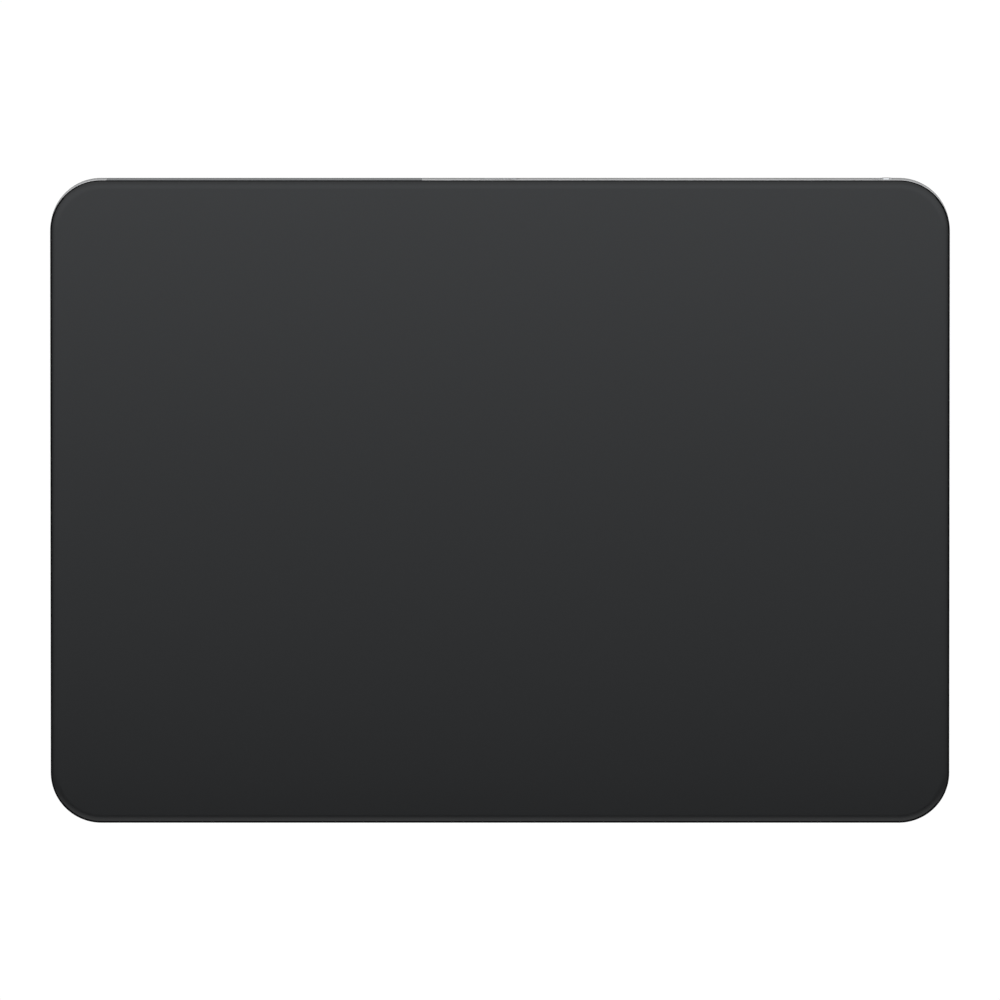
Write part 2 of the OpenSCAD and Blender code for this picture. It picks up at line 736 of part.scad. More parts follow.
module battery_tape() color("white") at_cells()
    for (x = [cell_x0 + tape_inset, cell_x1 - tape_inset - tape_w])
        box(x, x + tape_w, cell_y0 + tape_inset / 3, cell_y1 - tape_inset / 3, floor_z, cell_z);

module battery_guard_boards() color("darkgreen") at_cells()
    box(lead_x - guard_w / 2, lead_x + guard_w / 2, cell_y1, cell_y1 + guard_d,
        cell_z + guard_lift, cell_z + guard_lift + guard_t);

module battery_leads() color("orange") for (s = [-1, 1]) {
    z0 = cell_z + guard_lift + guard_t / 2;
    z1 = board_z - under_connector_t / 2;
    y0 = cell_y1 + guard_d;
    ribbon([[y0, z0], [y0 + 0.4 * guard_gap, z0], [board_y0 - 0.1 * guard_gap, z1], [under_entry_y, z1]],
        lead_w, s * lead_x);
}

// Haptic engine

module haptic_frame() color("gainsboro") translate([0, haptic_y, haptic_z]) difference() {
    union() {
        translate([-haptic_outer_l / 2, -haptic_outer_w / 2, 0])
            cube([haptic_outer_l, haptic_outer_w, haptic_h]);
        for (x = [-1, 1], y = [-1, 1]) translate([x * ear_x - ear_l / 2 - x * eps, y * ear_y - ear_w / 2, 0])
            cube([ear_l, ear_w, haptic_sheet]);
    }
    translate([-haptic_l / 2, -haptic_w / 2, haptic_sheet]) cube([haptic_l, haptic_w, haptic_h]);
    for (x = [-1, 1], y = [-1, 1]) translate([x * ear_x, y * ear_y, -clear])
        cylinder(r = screw_d / 2 + screw_play, h = haptic_sheet + 2 * clear);
}

module haptic_coils() color("peru") for (s = [-1, 1]) translate([s * coil_x, haptic_y, coil_z])
    linear_extrude(coil_t) difference() {
        rounded_rect(coil_l, carriage_w, 4);
        rounded_rect(coil_l - 2 * coil_leg, carriage_w - 2 * coil_leg, 1);
    }

module haptic_carriage() color("slategray") translate([0, haptic_y, carriage_z]) linear_extrude(carriage_t)
    difference() {
        square([carriage_l, carriage_w], center = true);
        for (x = magnet_xs) translate([x, 0]) square([magnet_l, magnet_w], center = true);
    }

module haptic_magnets() color("darkgray") translate([0, haptic_y, carriage_z]) for (x = magnet_xs)
    translate([x - magnet_l / 2, -magnet_w / 2, 0]) cube([magnet_l, magnet_w, carriage_t]);

// Hairpin leaf between the carriage's end and the frame's end wall.
module leaf_spring() {
    weld = 1;
    weld_w = 3;
    x0 = carriage_l / 2 + weld;
    x1 = haptic_l / 2 - weld;
    fold_r = (x1 - x0 - leaf_t) / 2;
    y0 = -carriage_w / 2 + 2;
    y1 = haptic_w / 2 - fold_r - leaf_t - 1;
    margin = 0.05;
    translate([0, 0, margin]) linear_extrude(carriage_t - 2 * margin) {
        for (x = [x0, x1 - leaf_t]) translate([x, y0]) square([leaf_t, y1 - y0]);
        translate([(x0 + x1) / 2, y1]) fold_ring(fold_r, leaf_t, 0, 180);
        translate([x0 - weld, y0]) square([weld + eps, weld_w]);
        translate([x1 - eps, y0]) square([weld + eps, weld_w]);
    }
}

module haptic_springs() color("silver") translate([0, haptic_y, carriage_z])
    for (a = [0, 180]) rotate(a) leaf_spring();

module haptic_screws() color("silver") at_haptic_screws() translate([0, 0, haptic_sheet])
    screw(haptic_sheet + floor_bite);

module haptic_flex() color("orange") {
    z0 = floor_z + flex_t / 2;
    z1 = board_z - under_connector_t / 2;
    y0 = haptic_y + haptic_outer_w / 2;
    ribbon([[y0, z0], [board_y0 - 2, z0], [board_y0 - 0.5, z1], [under_entry_y, z1]], lead_w, 0);
}

// Power switch

module switch_housing() color("silver") difference() {
    box(slot_x - housing_w / 2, slot_x + housing_w / 2, housing_y1 - housing_d, housing_y1, board_top_z,
        rear_feature_z + port_shell_h / 2);
    mouth_w = switch_travel + lever_w + 2 * lever_play;
    mouth_h = lever_h + 2 * lever_play;
    box(slot_x - mouth_w / 2, slot_x + mouth_w / 2, housing_y1 - lever_l, housing_y1 + clear,
        rear_feature_z - mouth_h / 2, rear_feature_z + mouth_h / 2);
}

module switch_knob() color("silver") {
    h = slot_h - 2 * knob_play;
    chamfer_y = rear_y + knob_proud - knob_chamfer;
    stadium_bar(knob_w, h, knob_x, rear_feature_z, shutter_y + shutter_t, chamfer_y);
    translate([knob_x, chamfer_y, rear_feature_z]) stadium_taper(knob_w, h, -knob_chamfer, knob_chamfer);
}

// Plate that closes the slot from inside, with the lever that works the switch.
module switch_shutter() color("darkgray") difference() {
    union() {
        box(knob_x - shutter_w / 2, knob_x + shutter_w / 2, shutter_y, shutter_y + shutter_t,
            rear_feature_z - shutter_h / 2, rear_feature_z + shutter_h / 2);
        box(knob_x - lever_w / 2, knob_x + lever_w / 2, shutter_y - lever_l, shutter_y + eps,
            rear_feature_z - lever_h / 2, rear_feature_z + lever_h / 2);
    }
    flag_recess(clear);
}

// Room for the coloured flag, to the right of the knob.
module flag_recess(past) {
    flag_t = 0.2;
    box(knob_x + knob_w / 2 + 0.1, knob_x + shutter_w / 2 - 0.2, shutter_y + shutter_t - flag_t,
        shutter_y + shutter_t + past, rear_feature_z - slot_h / 2, rear_feature_z + slot_h / 2);
}

module switch_on_flag() color("limegreen") flag_recess(0);

// Feet and force sensors

module foot_pad(c) color("gray") translate([c[0] * foot_x, c[1] * foot_y, 0]) difference() {
    rotate_extrude() rounded_foot_profile(foot_d / 2, foot_t, 0.35);
    translate([0, 0, foot_t - stud_head_t])
        cylinder(d = stud_head_d + 2 * insert_play, h = stud_head_t + clear);
}

module foot_stud(c) color("silver") translate([c[0] * foot_x, c[1] * foot_y, foot_t - stud_head_t]) {
    cylinder(d = stud_head_d, h = stud_head_t);
    cylinder(d = stud_d, h = flexure_z - foot_t + stud_head_t);
}

// Sprung plate, waisted on each side of the stud, screwed down at both ends.
module force_flexure(c) color("gainsboro") translate([c[0] * foot_x, c[1] * foot_y, flexure_z])
    linear_extrude(flexure_t) difference() {
        rounded_rect(flexure_l, flexure_w, 1.5);
        for (x = [-1, 1], y = [-1, 1]) translate([x * 3.6, y * flexure_w / 2]) circle(1.4);
        for (s = [-1, 1]) translate([s * flexure_screw_x, 0]) circle(screw_d / 2 + screw_play);
    }

module strain_gauges() color("orange") at_feet() for (s = [-1, 1])
    translate([s * 3.6 - 1.2, -0.9, flexure_z + flexure_t]) cube([2.4, 1.8, 0.1]);

module flexure_screws() color("silver") at_flexure_screws() translate([0, 0, flexure_t])
    screw(flexure_t + floor_bite);

// Circuits along the side walls that join the force sensors to the logic board.
module force_flex() color("orange") for (s = [-1, 1]) {
    tail_x = (s > 0 ? force_connector_xs[1] : -force_connector_xs[0]) - force_connector_w / 2;
    mirror([s > 0 ? 0 : 1, 0, 0]) translate([0, 0, floor_z]) linear_extrude(flex_t) {
        translate([force_flex_x - force_flex_w / 2, -foot_y - force_branch_w])
            square([force_flex_w, foot_y + force_branch_w + force_flex_y]);
        translate([tail_x, force_flex_y - force_flex_w / 2]) square([force_flex_x - tail_x, force_flex_w]);
        for (y = [-foot_y, foot_y])
            translate([foot_x + flexure_screw_x + pedestal_l / 2, y - force_branch_w / 2])
                square([force_flex_x - foot_x - flexure_screw_x - pedestal_l / 2, force_branch_w]);
    }
}

lower_case();
antenna_window();
touch_glass();
glass_adhesive();
touch_sensor_board();
stiffener_plate();
foam_supports();
sensor_flex();
logic_board();
board_chips();
radio_shield();
board_connectors();
board_screws();
antenna_carrier();
antenna_element();
charge_port_shell();
charge_port_insulator();
charge_port_contacts();
port_bracket();
port_screws();
battery_cells();
battery_tape();
battery_guard_boards();
battery_leads();
haptic_frame();
haptic_coils();
haptic_springs();
haptic_screws();
haptic_flex();
haptic_carriage();
haptic_magnets();
switch_housing();
switch_knob();
switch_shutter();
switch_on_flag();
force_flex();
strain_gauges();
flexure_screws();
for (i = [0 : 3]) {
    foot_pad(corner_sides[i]);
    foot_stud(corner_sides[i]);
    force_flexure(corner_sides[i]);
}
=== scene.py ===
# %% [markdown]
# # A desk trackpad
# The trackpad is a thin aluminium wedge with a sheet of etched black glass bonded on top. A power switch,
# a charging port and a plastic window for the antenna sit in its rear wall, and it stands on four rubber
# feet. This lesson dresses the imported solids: it loads them as a fixed frame, rebuilds the pieces that
# show with finer forms, and gives every other piece a finish of its own.

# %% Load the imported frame
import math

import bmesh
import bpy
from mathutils import Matrix, Vector


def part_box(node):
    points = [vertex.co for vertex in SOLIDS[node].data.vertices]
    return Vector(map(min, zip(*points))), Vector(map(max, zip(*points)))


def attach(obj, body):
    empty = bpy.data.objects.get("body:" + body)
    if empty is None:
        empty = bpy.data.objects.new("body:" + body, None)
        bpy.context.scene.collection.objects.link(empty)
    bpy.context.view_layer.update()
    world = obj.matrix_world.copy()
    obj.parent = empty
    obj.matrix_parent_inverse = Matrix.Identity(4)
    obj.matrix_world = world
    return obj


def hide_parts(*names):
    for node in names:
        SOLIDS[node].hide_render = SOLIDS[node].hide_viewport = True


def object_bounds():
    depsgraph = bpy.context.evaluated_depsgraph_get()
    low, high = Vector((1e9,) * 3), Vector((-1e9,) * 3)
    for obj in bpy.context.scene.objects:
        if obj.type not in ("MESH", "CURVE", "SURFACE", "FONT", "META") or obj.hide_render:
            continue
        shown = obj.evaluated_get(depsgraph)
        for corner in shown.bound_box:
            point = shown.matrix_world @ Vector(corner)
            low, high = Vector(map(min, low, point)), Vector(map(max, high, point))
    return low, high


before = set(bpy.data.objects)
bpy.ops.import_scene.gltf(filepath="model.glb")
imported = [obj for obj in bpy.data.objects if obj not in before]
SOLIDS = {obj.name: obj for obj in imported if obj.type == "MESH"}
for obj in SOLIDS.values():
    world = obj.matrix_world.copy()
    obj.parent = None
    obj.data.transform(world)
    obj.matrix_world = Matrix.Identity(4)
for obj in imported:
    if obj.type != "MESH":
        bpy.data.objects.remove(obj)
cad_low, cad_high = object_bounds()
MM = 0.001
print("size in mm:", [round(side / MM, 2) for side in cad_high - cad_low])

# %% [markdown]
# ## The camera
# The picture looks almost straight down, and the left and right edges stay parallel, so it was taken from
# far away. A long lens does the same without an orthographic camera, which would crop the other views.
# The camera leans a few degrees to the rear: that lean is what makes the rear wall show as a thin strip.

# %% Place the camera
PHOTO_SIDE_PX = 1000
TRACKPAD_WIDE_PX = 899.2
LENS_MM = 1600
SENSOR_MM = 36
VIEW_REACH = 20
LEAN = math.radians(3.4)
AIM = Vector((0, 0.00027, 0.0062))

photo_width = PHOTO_SIDE_PX * (cad_high.x - cad_low.x) / TRACKPAD_WIDE_PX
towards_camera = Vector((0, math.sin(LEAN), math.cos(LEAN)))
photo_up = Vector((0, math.cos(LEAN), -math.sin(LEAN)))
lens = bpy.data.cameras.new("portrait_lens")
lens.lens = LENS_MM
lens.sensor_width = SENSOR_MM
lens.clip_end = VIEW_REACH
camera = bpy.data.objects.new("portrait_camera", lens)
bpy.context.scene.collection.objects.link(camera)
stand_off = photo_width * LENS_MM / SENSOR_MM
turn = Matrix((Vector((1, 0, 0)), photo_up, towards_camera)).transposed()
camera.matrix_world = Matrix.Translation(AIM + towards_camera * stand_off) @ turn.to_4x4()
bpy.context.scene.camera = camera
print(f"camera {stand_off:.2f} m away, leaning {math.degrees(LEAN):.1f} degrees to the rear")

# %% [markdown]
# ## Node helpers
# Materials, light and Geometry Nodes are all node trees. One helper adds a node, sets it and wires it, so
# the cells below read as a list of nodes rather than as lines of linking.


# %% Add and wire a node
def put(tree, kind, wires=None, **settings):
    """Adds a node. wires maps a socket's name or number to a value, or to the output that feeds it."""
    made = tree.nodes.new(kind)
    for key, value in settings.items():
        setattr(made, key, value)
    for key, value in (wires or {}).items():
        if isinstance(value, bpy.types.NodeSocket):
            tree.links.new(value, made.inputs[key])
        else:
            made.inputs[key].default_value = value
    return made


def calc(tree, operation, first, second=0.0):
    return put(tree, "ShaderNodeMath", {0: first, 1: second}, operation=operation).outputs[0]


# %% [markdown]
# ## Floor and light
# The trackpad lies on white with no shadow, as on a lit table. The floor shows as plain white, but gives off
# no light right at the walls, so that the aluminium above it keeps its grey and darkens towards the floor.
# From below the floor can be seen through, and it lights the underside evenly. It is one large triangle,
# because the seam between two would show in the metal just above it.


# %% Lay the floor
def new_material(name):
    material = bpy.data.materials.new(name)
    material.use_nodes = True
    material.node_tree.nodes.clear()
    return material, material.node_tree


FLOOR_GLOW, FULL_FROM = 0.92, 6.2 * MM
UNDER_GLOW, UNDER_FROM = 0.75, 2.5 * MM
SHOWN_WHITE = 1.02
CORNER_R = 9 * MM
case_low, case_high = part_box("lower_case")
floor_white, tree = new_material("floor_white")
place = put(tree, "ShaderNodeSeparateXYZ", {0: put(tree, "ShaderNodeTexCoord").outputs["Object"]})
past = [calc(tree, "SUBTRACT", calc(tree, "ABSOLUTE", place.outputs[axis]), half - CORNER_R)
        for axis, half in (("X", case_high.x), ("Y", case_high.y))]
squares = [calc(tree, "POWER", calc(tree, "MAXIMUM", side, 0.0), 2.0) for side in past]
round_corner = calc(tree, "SQRT", calc(tree, "ADD", *squares))
beneath = calc(tree, "MINIMUM", calc(tree, "MAXIMUM", *past), 0.0)
from_walls = calc(tree, "SUBTRACT", calc(tree, "ADD", round_corner, beneath), CORNER_R)
glow = calc(tree, "MAXIMUM", *[
    put(tree, "ShaderNodeMapRange", {"Value": from_walls, "From Max": full_from, "To Max": most}).outputs[0]
    for full_from, most in ((FULL_FROM, FLOOR_GLOW), (-UNDER_FROM, UNDER_GLOW))])
sight = put(tree, "ShaderNodeLightPath")
shown = put(tree, "ShaderNodeEmission", {"Color": (1, 1, 1, 1), "Strength": SHOWN_WHITE})
shed = put(tree, "ShaderNodeEmission", {"Color": (1, 1, 1, 1), "Strength": glow})
seen_from = put(tree, "ShaderNodeNewGeometry")
clear = put(tree, "ShaderNodeBsdfTransparent")
upper = put(tree, "ShaderNodeMixShader", {
    0: sight.outputs["Is Camera Ray"], 1: shed.outputs[0], 2: shown.outputs[0]})
both = put(tree, "ShaderNodeMixShader", {
    0: seen_from.outputs["Backfacing"], 1: upper.outputs[0], 2: clear.outputs[0]})
put(tree, "ShaderNodeOutputMaterial", {"Surface": both.outputs[0]})

FLOOR_REACH = 8.0
FLOOR_DROP = 0.05 * MM
floor_mesh = bpy.data.meshes.new("floor")
tips = [math.radians(a) for a in (90, 210, 330)]
floor_mesh.from_pydata(
    [(FLOOR_REACH * math.cos(a), FLOOR_REACH * math.sin(a), -FLOOR_DROP) for a in tips], [], [(0, 1, 2)])
floor_mesh.materials.append(floor_white)
floor = bpy.data.objects.new("floor", floor_mesh)
bpy.context.scene.collection.objects.link(floor)
print("floor laid")

# %% [markdown]
# The room is dark overhead and brighter low down, most of all in front and behind. The rounded border of the
# glass mirrors it, so the front and rear borders catch more light than the side ones. World colours read the
# direction of the ray, so this light stays put when the camera moves.

# %% Light the room
LOW_LIGHT = 0.21
ENDS_LIGHT = 1.69
world = bpy.data.worlds.new("studio_room")
bpy.context.scene.world = world
world.use_nodes = True
tree = world.node_tree
tree.nodes.clear()
direction = put(tree, "ShaderNodeSeparateXYZ", {0: put(tree, "ShaderNodeTexCoord").outputs["Generated"]})
low_down = calc(tree, "SUBTRACT", 1.0, direction.outputs["Z"])
ends = calc(tree, "MULTIPLY", calc(tree, "POWER", direction.outputs["Y"], 2.0), ENDS_LIGHT)
room = calc(tree, "MULTIPLY", low_down, calc(tree, "ADD", ends, LOW_LIGHT))
sight = put(tree, "ShaderNodeLightPath")
lit = put(tree, "ShaderNodeBackground", {"Color": (1, 1, 1, 1), "Strength": room})
white = put(tree, "ShaderNodeBackground", {"Color": (1, 1, 1, 1), "Strength": SHOWN_WHITE})
mixed = put(tree, "ShaderNodeMixShader", {
    0: sight.outputs["Is Camera Ray"], 1: lit.outputs[0], 2: white.outputs[0]})
put(tree, "ShaderNodeOutputWorld", {"Surface": mixed.outputs[0]})
bpy.context.scene.view_settings.view_transform = "Standard"
print("room lit")

# %% [markdown]
# Three soft boxes hang overhead. In the glass the mirror image of the rear one ends in the rear half, and
# that of the wide one at the front border. The etched surface blurs both, so the glass fades from rear to
# front. The box far in front draws the light line along the front border. The rear box hangs a little lower
# than the wide one, because two lights in one plane would hide each other.


# %% Hang the soft boxes
def soft_box(name, at, size, glow):
    """A rectangular light that points down, with a glow in the same units as the room's."""
    lamp = bpy.data.lights.new(name, "AREA")
    lamp.shape = "RECTANGLE"
    lamp.size, lamp.size_y = size
    lamp.energy = glow * math.pi * size[0] * size[1]
    lamp.color = COOL_WHITE
    hung = bpy.data.objects.new(name, lamp)
    hung.location = at
    hung.visible_camera = False
    bpy.context.scene.collection.objects.link(hung)


COOL_WHITE = (0.96, 1.0, 1.04)
BOX_H, BOX_W = 0.25, 0.70
BELOW = 0.005
soft_box("wide_soft_box", (0, 0.15, BOX_H), (BOX_W, 0.50), 0.72)
soft_box("rear_soft_box", (0, 0.10, BOX_H - BELOW), (BOX_W, 0.20), 0.75)
soft_box("front_soft_box", (0, -0.30, BOX_H), (BOX_W, 0.20), 0.64)
print("soft boxes hung")

# %% [markdown]
# ## Finishes
# Blasted metal, etched glass, moulded plastic and rubber all have a fine grain that catches light, and all
# are a little uneven from handling. Both effects are shader groups that read Object coordinates, so the
# grain has one real size on every piece.


# %% Shared effects
def new_effect(name, inputs, outputs):
    """An empty shader group with those number inputs and outputs, and its two ends."""
    group = bpy.data.node_groups.new(name, "ShaderNodeTree")
    for label in inputs:
        group.interface.new_socket(label, in_out="INPUT", socket_type="NodeSocketFloat")
    for label in outputs:
        group.interface.new_socket(label, in_out="OUTPUT", socket_type="NodeSocketFloat")
    return group, put(group, "NodeGroupInput").outputs, put(group, "NodeGroupOutput").inputs


def noise(tree, scale, detail, stretch=(1, 1, 1)):
    """Noise in Object coordinates, with that many cells to the metre."""
    place = put(tree, "ShaderNodeTexCoord").outputs["Object"]
    spread = put(tree, "ShaderNodeMapping", {"Vector": place, "Scale": stretch}).outputs[0]
    return put(tree, "ShaderNodeTexNoise", {"Vector": spread, "Scale": scale, "Detail": detail}).outputs[0]


FINE_DETAIL = 2.0
PATCHES_PER_M, PATCH_DETAIL = 45.0, 3.0
PATCH_LOW, PATCH_HIGH = 0.3, 0.7
LONG_MARKS = (0.04, 1, 1)

grain, taken, given = new_effect("fine_grain", ["Grain mm"], ["Height"])
cells = calc(grain, "DIVIDE", 1 / MM, taken["Grain mm"])
grain.links.new(noise(grain, cells, FINE_DETAIL), given["Height"])

handling, taken, given = new_effect("handling", ["Low", "High"], ["Value"])
patchy = put(handling, "ShaderNodeMapRange", {
    "Value": noise(handling, PATCHES_PER_M, PATCH_DETAIL), "From Min": PATCH_LOW, "From Max": PATCH_HIGH,
    "To Min": taken["Low"], "To Max": taken["High"]})
handling.links.new(patchy.outputs[0], given["Value"])

rolling, taken, given = new_effect("rolling_marks", ["Marks per mm"], ["Height"])
marks = calc(rolling, "MULTIPLY", taken["Marks per mm"], 1 / MM)
rolling.links.new(noise(rolling, marks, FINE_DETAIL, LONG_MARKS), given["Height"])
print("effects:", [group.name for group in (grain, handling, rolling)])


# %% Build one finish
def effect(tree, group, **values):
    used = put(tree, "ShaderNodeGroup", node_tree=group)
    for label, value in values.items():
        used.inputs[label.replace("_", " ")].default_value = value
    return used.outputs[0]


FINISH = {}
GRAIN_DEPTH = 0.1


def finish(name, dark, light, rough, metal=0.0, grain_mm=0.2, bump=0.1, marks=0.0):
    """A finish that varies between two colours and two roughnesses, with a grain or with rolling marks."""
    material, tree = new_material(name)
    if marks:
        height = effect(tree, rolling, Marks_per_mm=marks)
    else:
        height = effect(tree, grain, Grain_mm=grain_mm)
    shade = put(tree, "ShaderNodeMix", {"Factor": height}, data_type="RGBA")
    shade.inputs["A"].default_value = (*dark, 1)
    shade.inputs["B"].default_value = (*light, 1)
    relief = put(tree, "ShaderNodeBump", {
        "Strength": bump, "Distance": GRAIN_DEPTH * grain_mm * MM, "Height": height})
    surface = put(tree, "ShaderNodeBsdfPrincipled", {
        "Base Color": shade.outputs["Result"], "Metallic": metal,
        "Roughness": effect(tree, handling, Low=rough[0], High=rough[1]), "Normal": relief.outputs[0]})
    put(tree, "ShaderNodeOutputMaterial", {"Surface": surface.outputs[0]})
    FINISH[name] = material
    return surface


slot_of = {name: solid.material_slots[0].material.name for name, solid in SOLIDS.items()}
for plain in {solid.material_slots[0].material for solid in SOLIDS.values()}:
    bpy.data.materials.remove(plain)
print(len(set(slot_of.values())), "finishes to make")

# %% [markdown]
# ### The outside
# The touch surface is glass with an etched upper face over a black print: near black, with a soft broad
# gloss. The case is bead-blasted aluminium, anodised clear, and the antenna window is a plastic coloured
# to go with it.

# %% Finishes of the outside
glass_surface = finish("black_touch_glass", (0.0010, 0.0011, 0.0012), (0.0016, 0.0017, 0.0019),
                       (0.356, 0.364), grain_mm=0.05, bump=0.04)
glass_surface.inputs["IOR"].default_value = 1.5
# Painted shade: the ground edge is near black and mirrors nothing, so it always shows as a dark line.
edge_surface = finish("ground_edge_painted_shade", (0.004, 0.004, 0.0045), (0.006, 0.006, 0.0065), (0.60, 0.70),
                      grain_mm=0.05, bump=0.10)
edge_surface.inputs["Specular IOR Level"].default_value = 0.0
finish("anodised_aluminium", (0.66, 0.665, 0.675), (0.74, 0.745, 0.755), (0.36, 0.42), metal=1.0,
       grain_mm=0.12, bump=0.16)
window_surface = finish("antenna_plastic", (0.18, 0.184, 0.19), (0.22, 0.224, 0.23), (0.50, 0.58),
                        grain_mm=0.15, bump=0.12)
window_surface.inputs["Specular IOR Level"].default_value = 0.25
finish("cut_aluminium", (0.64, 0.645, 0.655), (0.72, 0.725, 0.735), (0.14, 0.18), metal=1.0, grain_mm=0.1,
       bump=0.06)
finish("knob_aluminium", (0.62, 0.625, 0.635), (0.68, 0.685, 0.695), (0.10, 0.14), metal=1.0, grain_mm=0.1,
       bump=0.06)
finish("foot_rubber", (0.045, 0.046, 0.048), (0.065, 0.066, 0.069), (0.72, 0.82), grain_mm=0.3, bump=0.5)
finish("port_steel", (0.52, 0.52, 0.53), (0.62, 0.62, 0.63), (0.24, 0.32), metal=1.0, marks=8)
finish("port_plastic", (0.015, 0.015, 0.016), (0.025, 0.025, 0.026), (0.45, 0.55), grain_mm=0.1, bump=0.15)
finish("gold_contact", (0.86, 0.60, 0.20), (0.94, 0.70, 0.30), (0.18, 0.26), metal=1.0, marks=10)
finish("shutter_plastic", (0.30, 0.30, 0.31), (0.36, 0.36, 0.37), (0.45, 0.55), grain_mm=0.1, bump=0.1)
finish("flag_green", (0.10, 0.52, 0.12), (0.14, 0.60, 0.16), (0.40, 0.50), grain_mm=0.1, bump=0.1)
finish("black_adhesive", (0.008, 0.008, 0.008), (0.014, 0.014, 0.014), (0.55, 0.70), grain_mm=0.3, bump=0.2)
print(len(FINISH), "finishes so far")

# %% [markdown]
# ### The inside
# The circuit boards, battery, motor and fasteners are closed in, and their finishes follow what each part
# is made of: solder mask, amber flexible circuits, rolled spring steel, copper wire, foil pouches.

# %% Finishes of the inside
finish("sensor_laminate", (0.012, 0.05, 0.03), (0.03, 0.09, 0.05), (0.35, 0.45), grain_mm=0.6, bump=0.1)
finish("stiffener_aluminium", (0.60, 0.60, 0.61), (0.72, 0.72, 0.73), (0.32, 0.42), metal=1.0, marks=4)
finish("grey_foam", (0.05, 0.05, 0.052), (0.16, 0.16, 0.165), (0.85, 0.95), grain_mm=0.35, bump=0.9)
finish("flex_circuit", (0.42, 0.16, 0.03), (0.58, 0.26, 0.06), (0.30, 0.40), marks=2)
finish("circuit_board", (0.01, 0.06, 0.03), (0.02, 0.12, 0.06), (0.30, 0.42), grain_mm=0.5, bump=0.15)
finish("chip_plastic", (0.012, 0.012, 0.013), (0.022, 0.022, 0.024), (0.55, 0.68), grain_mm=0.08, bump=0.3)
finish("shield_steel", (0.62, 0.62, 0.60), (0.72, 0.72, 0.70), (0.25, 0.34), metal=1.0, marks=6)
finish("connector_plastic", (0.72, 0.68, 0.58), (0.78, 0.74, 0.64), (0.45, 0.55), grain_mm=0.15, bump=0.15)
finish("screw_steel", (0.50, 0.50, 0.51), (0.64, 0.64, 0.65), (0.22, 0.32), metal=1.0, grain_mm=0.1,
       bump=0.12)
finish("copper_foil", (0.72, 0.36, 0.20), (0.84, 0.46, 0.28), (0.24, 0.34), metal=1.0, marks=5)
finish("battery_foil", (0.10, 0.10, 0.11), (0.17, 0.17, 0.18), (0.30, 0.42), metal=0.6, grain_mm=0.8,
       bump=0.35)
finish("white_tape", (0.74, 0.74, 0.72), (0.82, 0.82, 0.80), (0.60, 0.72), grain_mm=0.3, bump=0.3)
finish("frame_steel", (0.50, 0.50, 0.50), (0.62, 0.62, 0.62), (0.26, 0.36), metal=1.0, marks=5)
finish("spring_steel", (0.46, 0.46, 0.47), (0.60, 0.60, 0.61), (0.20, 0.30), metal=1.0, marks=9)
finish("copper_wire", (0.46, 0.17, 0.06), (0.72, 0.32, 0.13), (0.26, 0.36), metal=1.0, marks=4)
finish("carriage_metal", (0.30, 0.31, 0.33), (0.40, 0.41, 0.43), (0.34, 0.44), metal=1.0, grain_mm=0.2,
       bump=0.2)
finish("magnet_nickel", (0.62, 0.60, 0.56), (0.72, 0.70, 0.66), (0.14, 0.22), metal=1.0, grain_mm=0.5,
       bump=0.05)
finish("gauge_film", (0.60, 0.30, 0.06), (0.72, 0.40, 0.10), (0.32, 0.42), marks=6)
for name, solid in SOLIDS.items():
    solid.material_slots[0].material = FINISH[slot_of[name]]
print(len(FINISH), "finishes made,", len(SOLIDS), "solids dressed")

# %% [markdown]
# ## One rule for case, glass and feet
# Seen from above, the case, the glass and the feet are all rounded rectangles, and each has one profile that
# runs round its border. That is a rule, so one Geometry Nodes tree makes them all: it takes the profile as a
# line of points and carries it round the four corners. A profile point is (reach, follow, height): reach is
# measured from the corner's axis, and follow says how far the point goes along with the slope of the top.


# %% Start and run a Geometry Nodes tree
def new_tree(name, inputs):
    """An empty tree that takes a mesh and those inputs, given as label: kind, and gives a mesh."""
    tree = bpy.data.node_groups.new(name, "GeometryNodeTree")
    tree.is_modifier = True
    tree.interface.new_socket("Mesh", in_out="INPUT", socket_type="NodeSocketGeometry")
    for label, kind in inputs.items():
        tree.interface.new_socket(label, in_out="INPUT", socket_type="NodeSocket" + kind)
    tree.interface.new_socket("Mesh", in_out="OUTPUT", socket_type="NodeSocketGeometry")
    return tree, put(tree, "NodeGroupInput").outputs, put(tree, "NodeGroupOutput").inputs


def bake(piece):
    """Turns a piece with modifiers into a plain mesh, without the empty slots that mesh nodes leave."""
    baked = bpy.data.meshes.new_from_object(piece.evaluated_get(bpy.context.evaluated_depsgraph_get()))
    piece.modifiers.clear()
    piece.data = baked
    baked.name = piece.name
    for slot in reversed(range(len(baked.materials))):
        if baked.materials[slot] is None:
            baked.materials.pop(index=slot)
    return piece


HARD_EDGE = math.radians(32)


def grow(tree, name, points, values):
    """Runs a tree on points, with its inputs set by name, and keeps the mesh that it makes."""
    seed = bpy.data.meshes.new(name)
    seed.from_pydata(points, [], [])
    piece = bpy.data.objects.new(name, seed)
    bpy.context.scene.collection.objects.link(piece)
    run = piece.modifiers.new("grow", "NODES")
    run.node_group = tree
    for item in tree.interface.items_tree:
        if item.in_out == "INPUT" and item.name in values:
            run[item.identifier] = values[item.name]
    bake(piece).data.set_sharp_from_angle(angle=HARD_EDGE)
    return piece


def wrap_up(tree, mesh, given, material):
    """The end that every tree has: smooth faces, real copies and a finish."""
    smooth = put(tree, "GeometryNodeSetShadeSmooth", {"Geometry": mesh})
    real = put(tree, "GeometryNodeRealizeInstances", {"Geometry": smooth.outputs[0]})
    dressed = put(tree, "GeometryNodeSetMaterial", {"Geometry": real.outputs[0], "Material": material})
    tree.links.new(dressed.outputs[0], given["Mesh"])
    print(tree.name, "has", len(tree.nodes), "nodes")


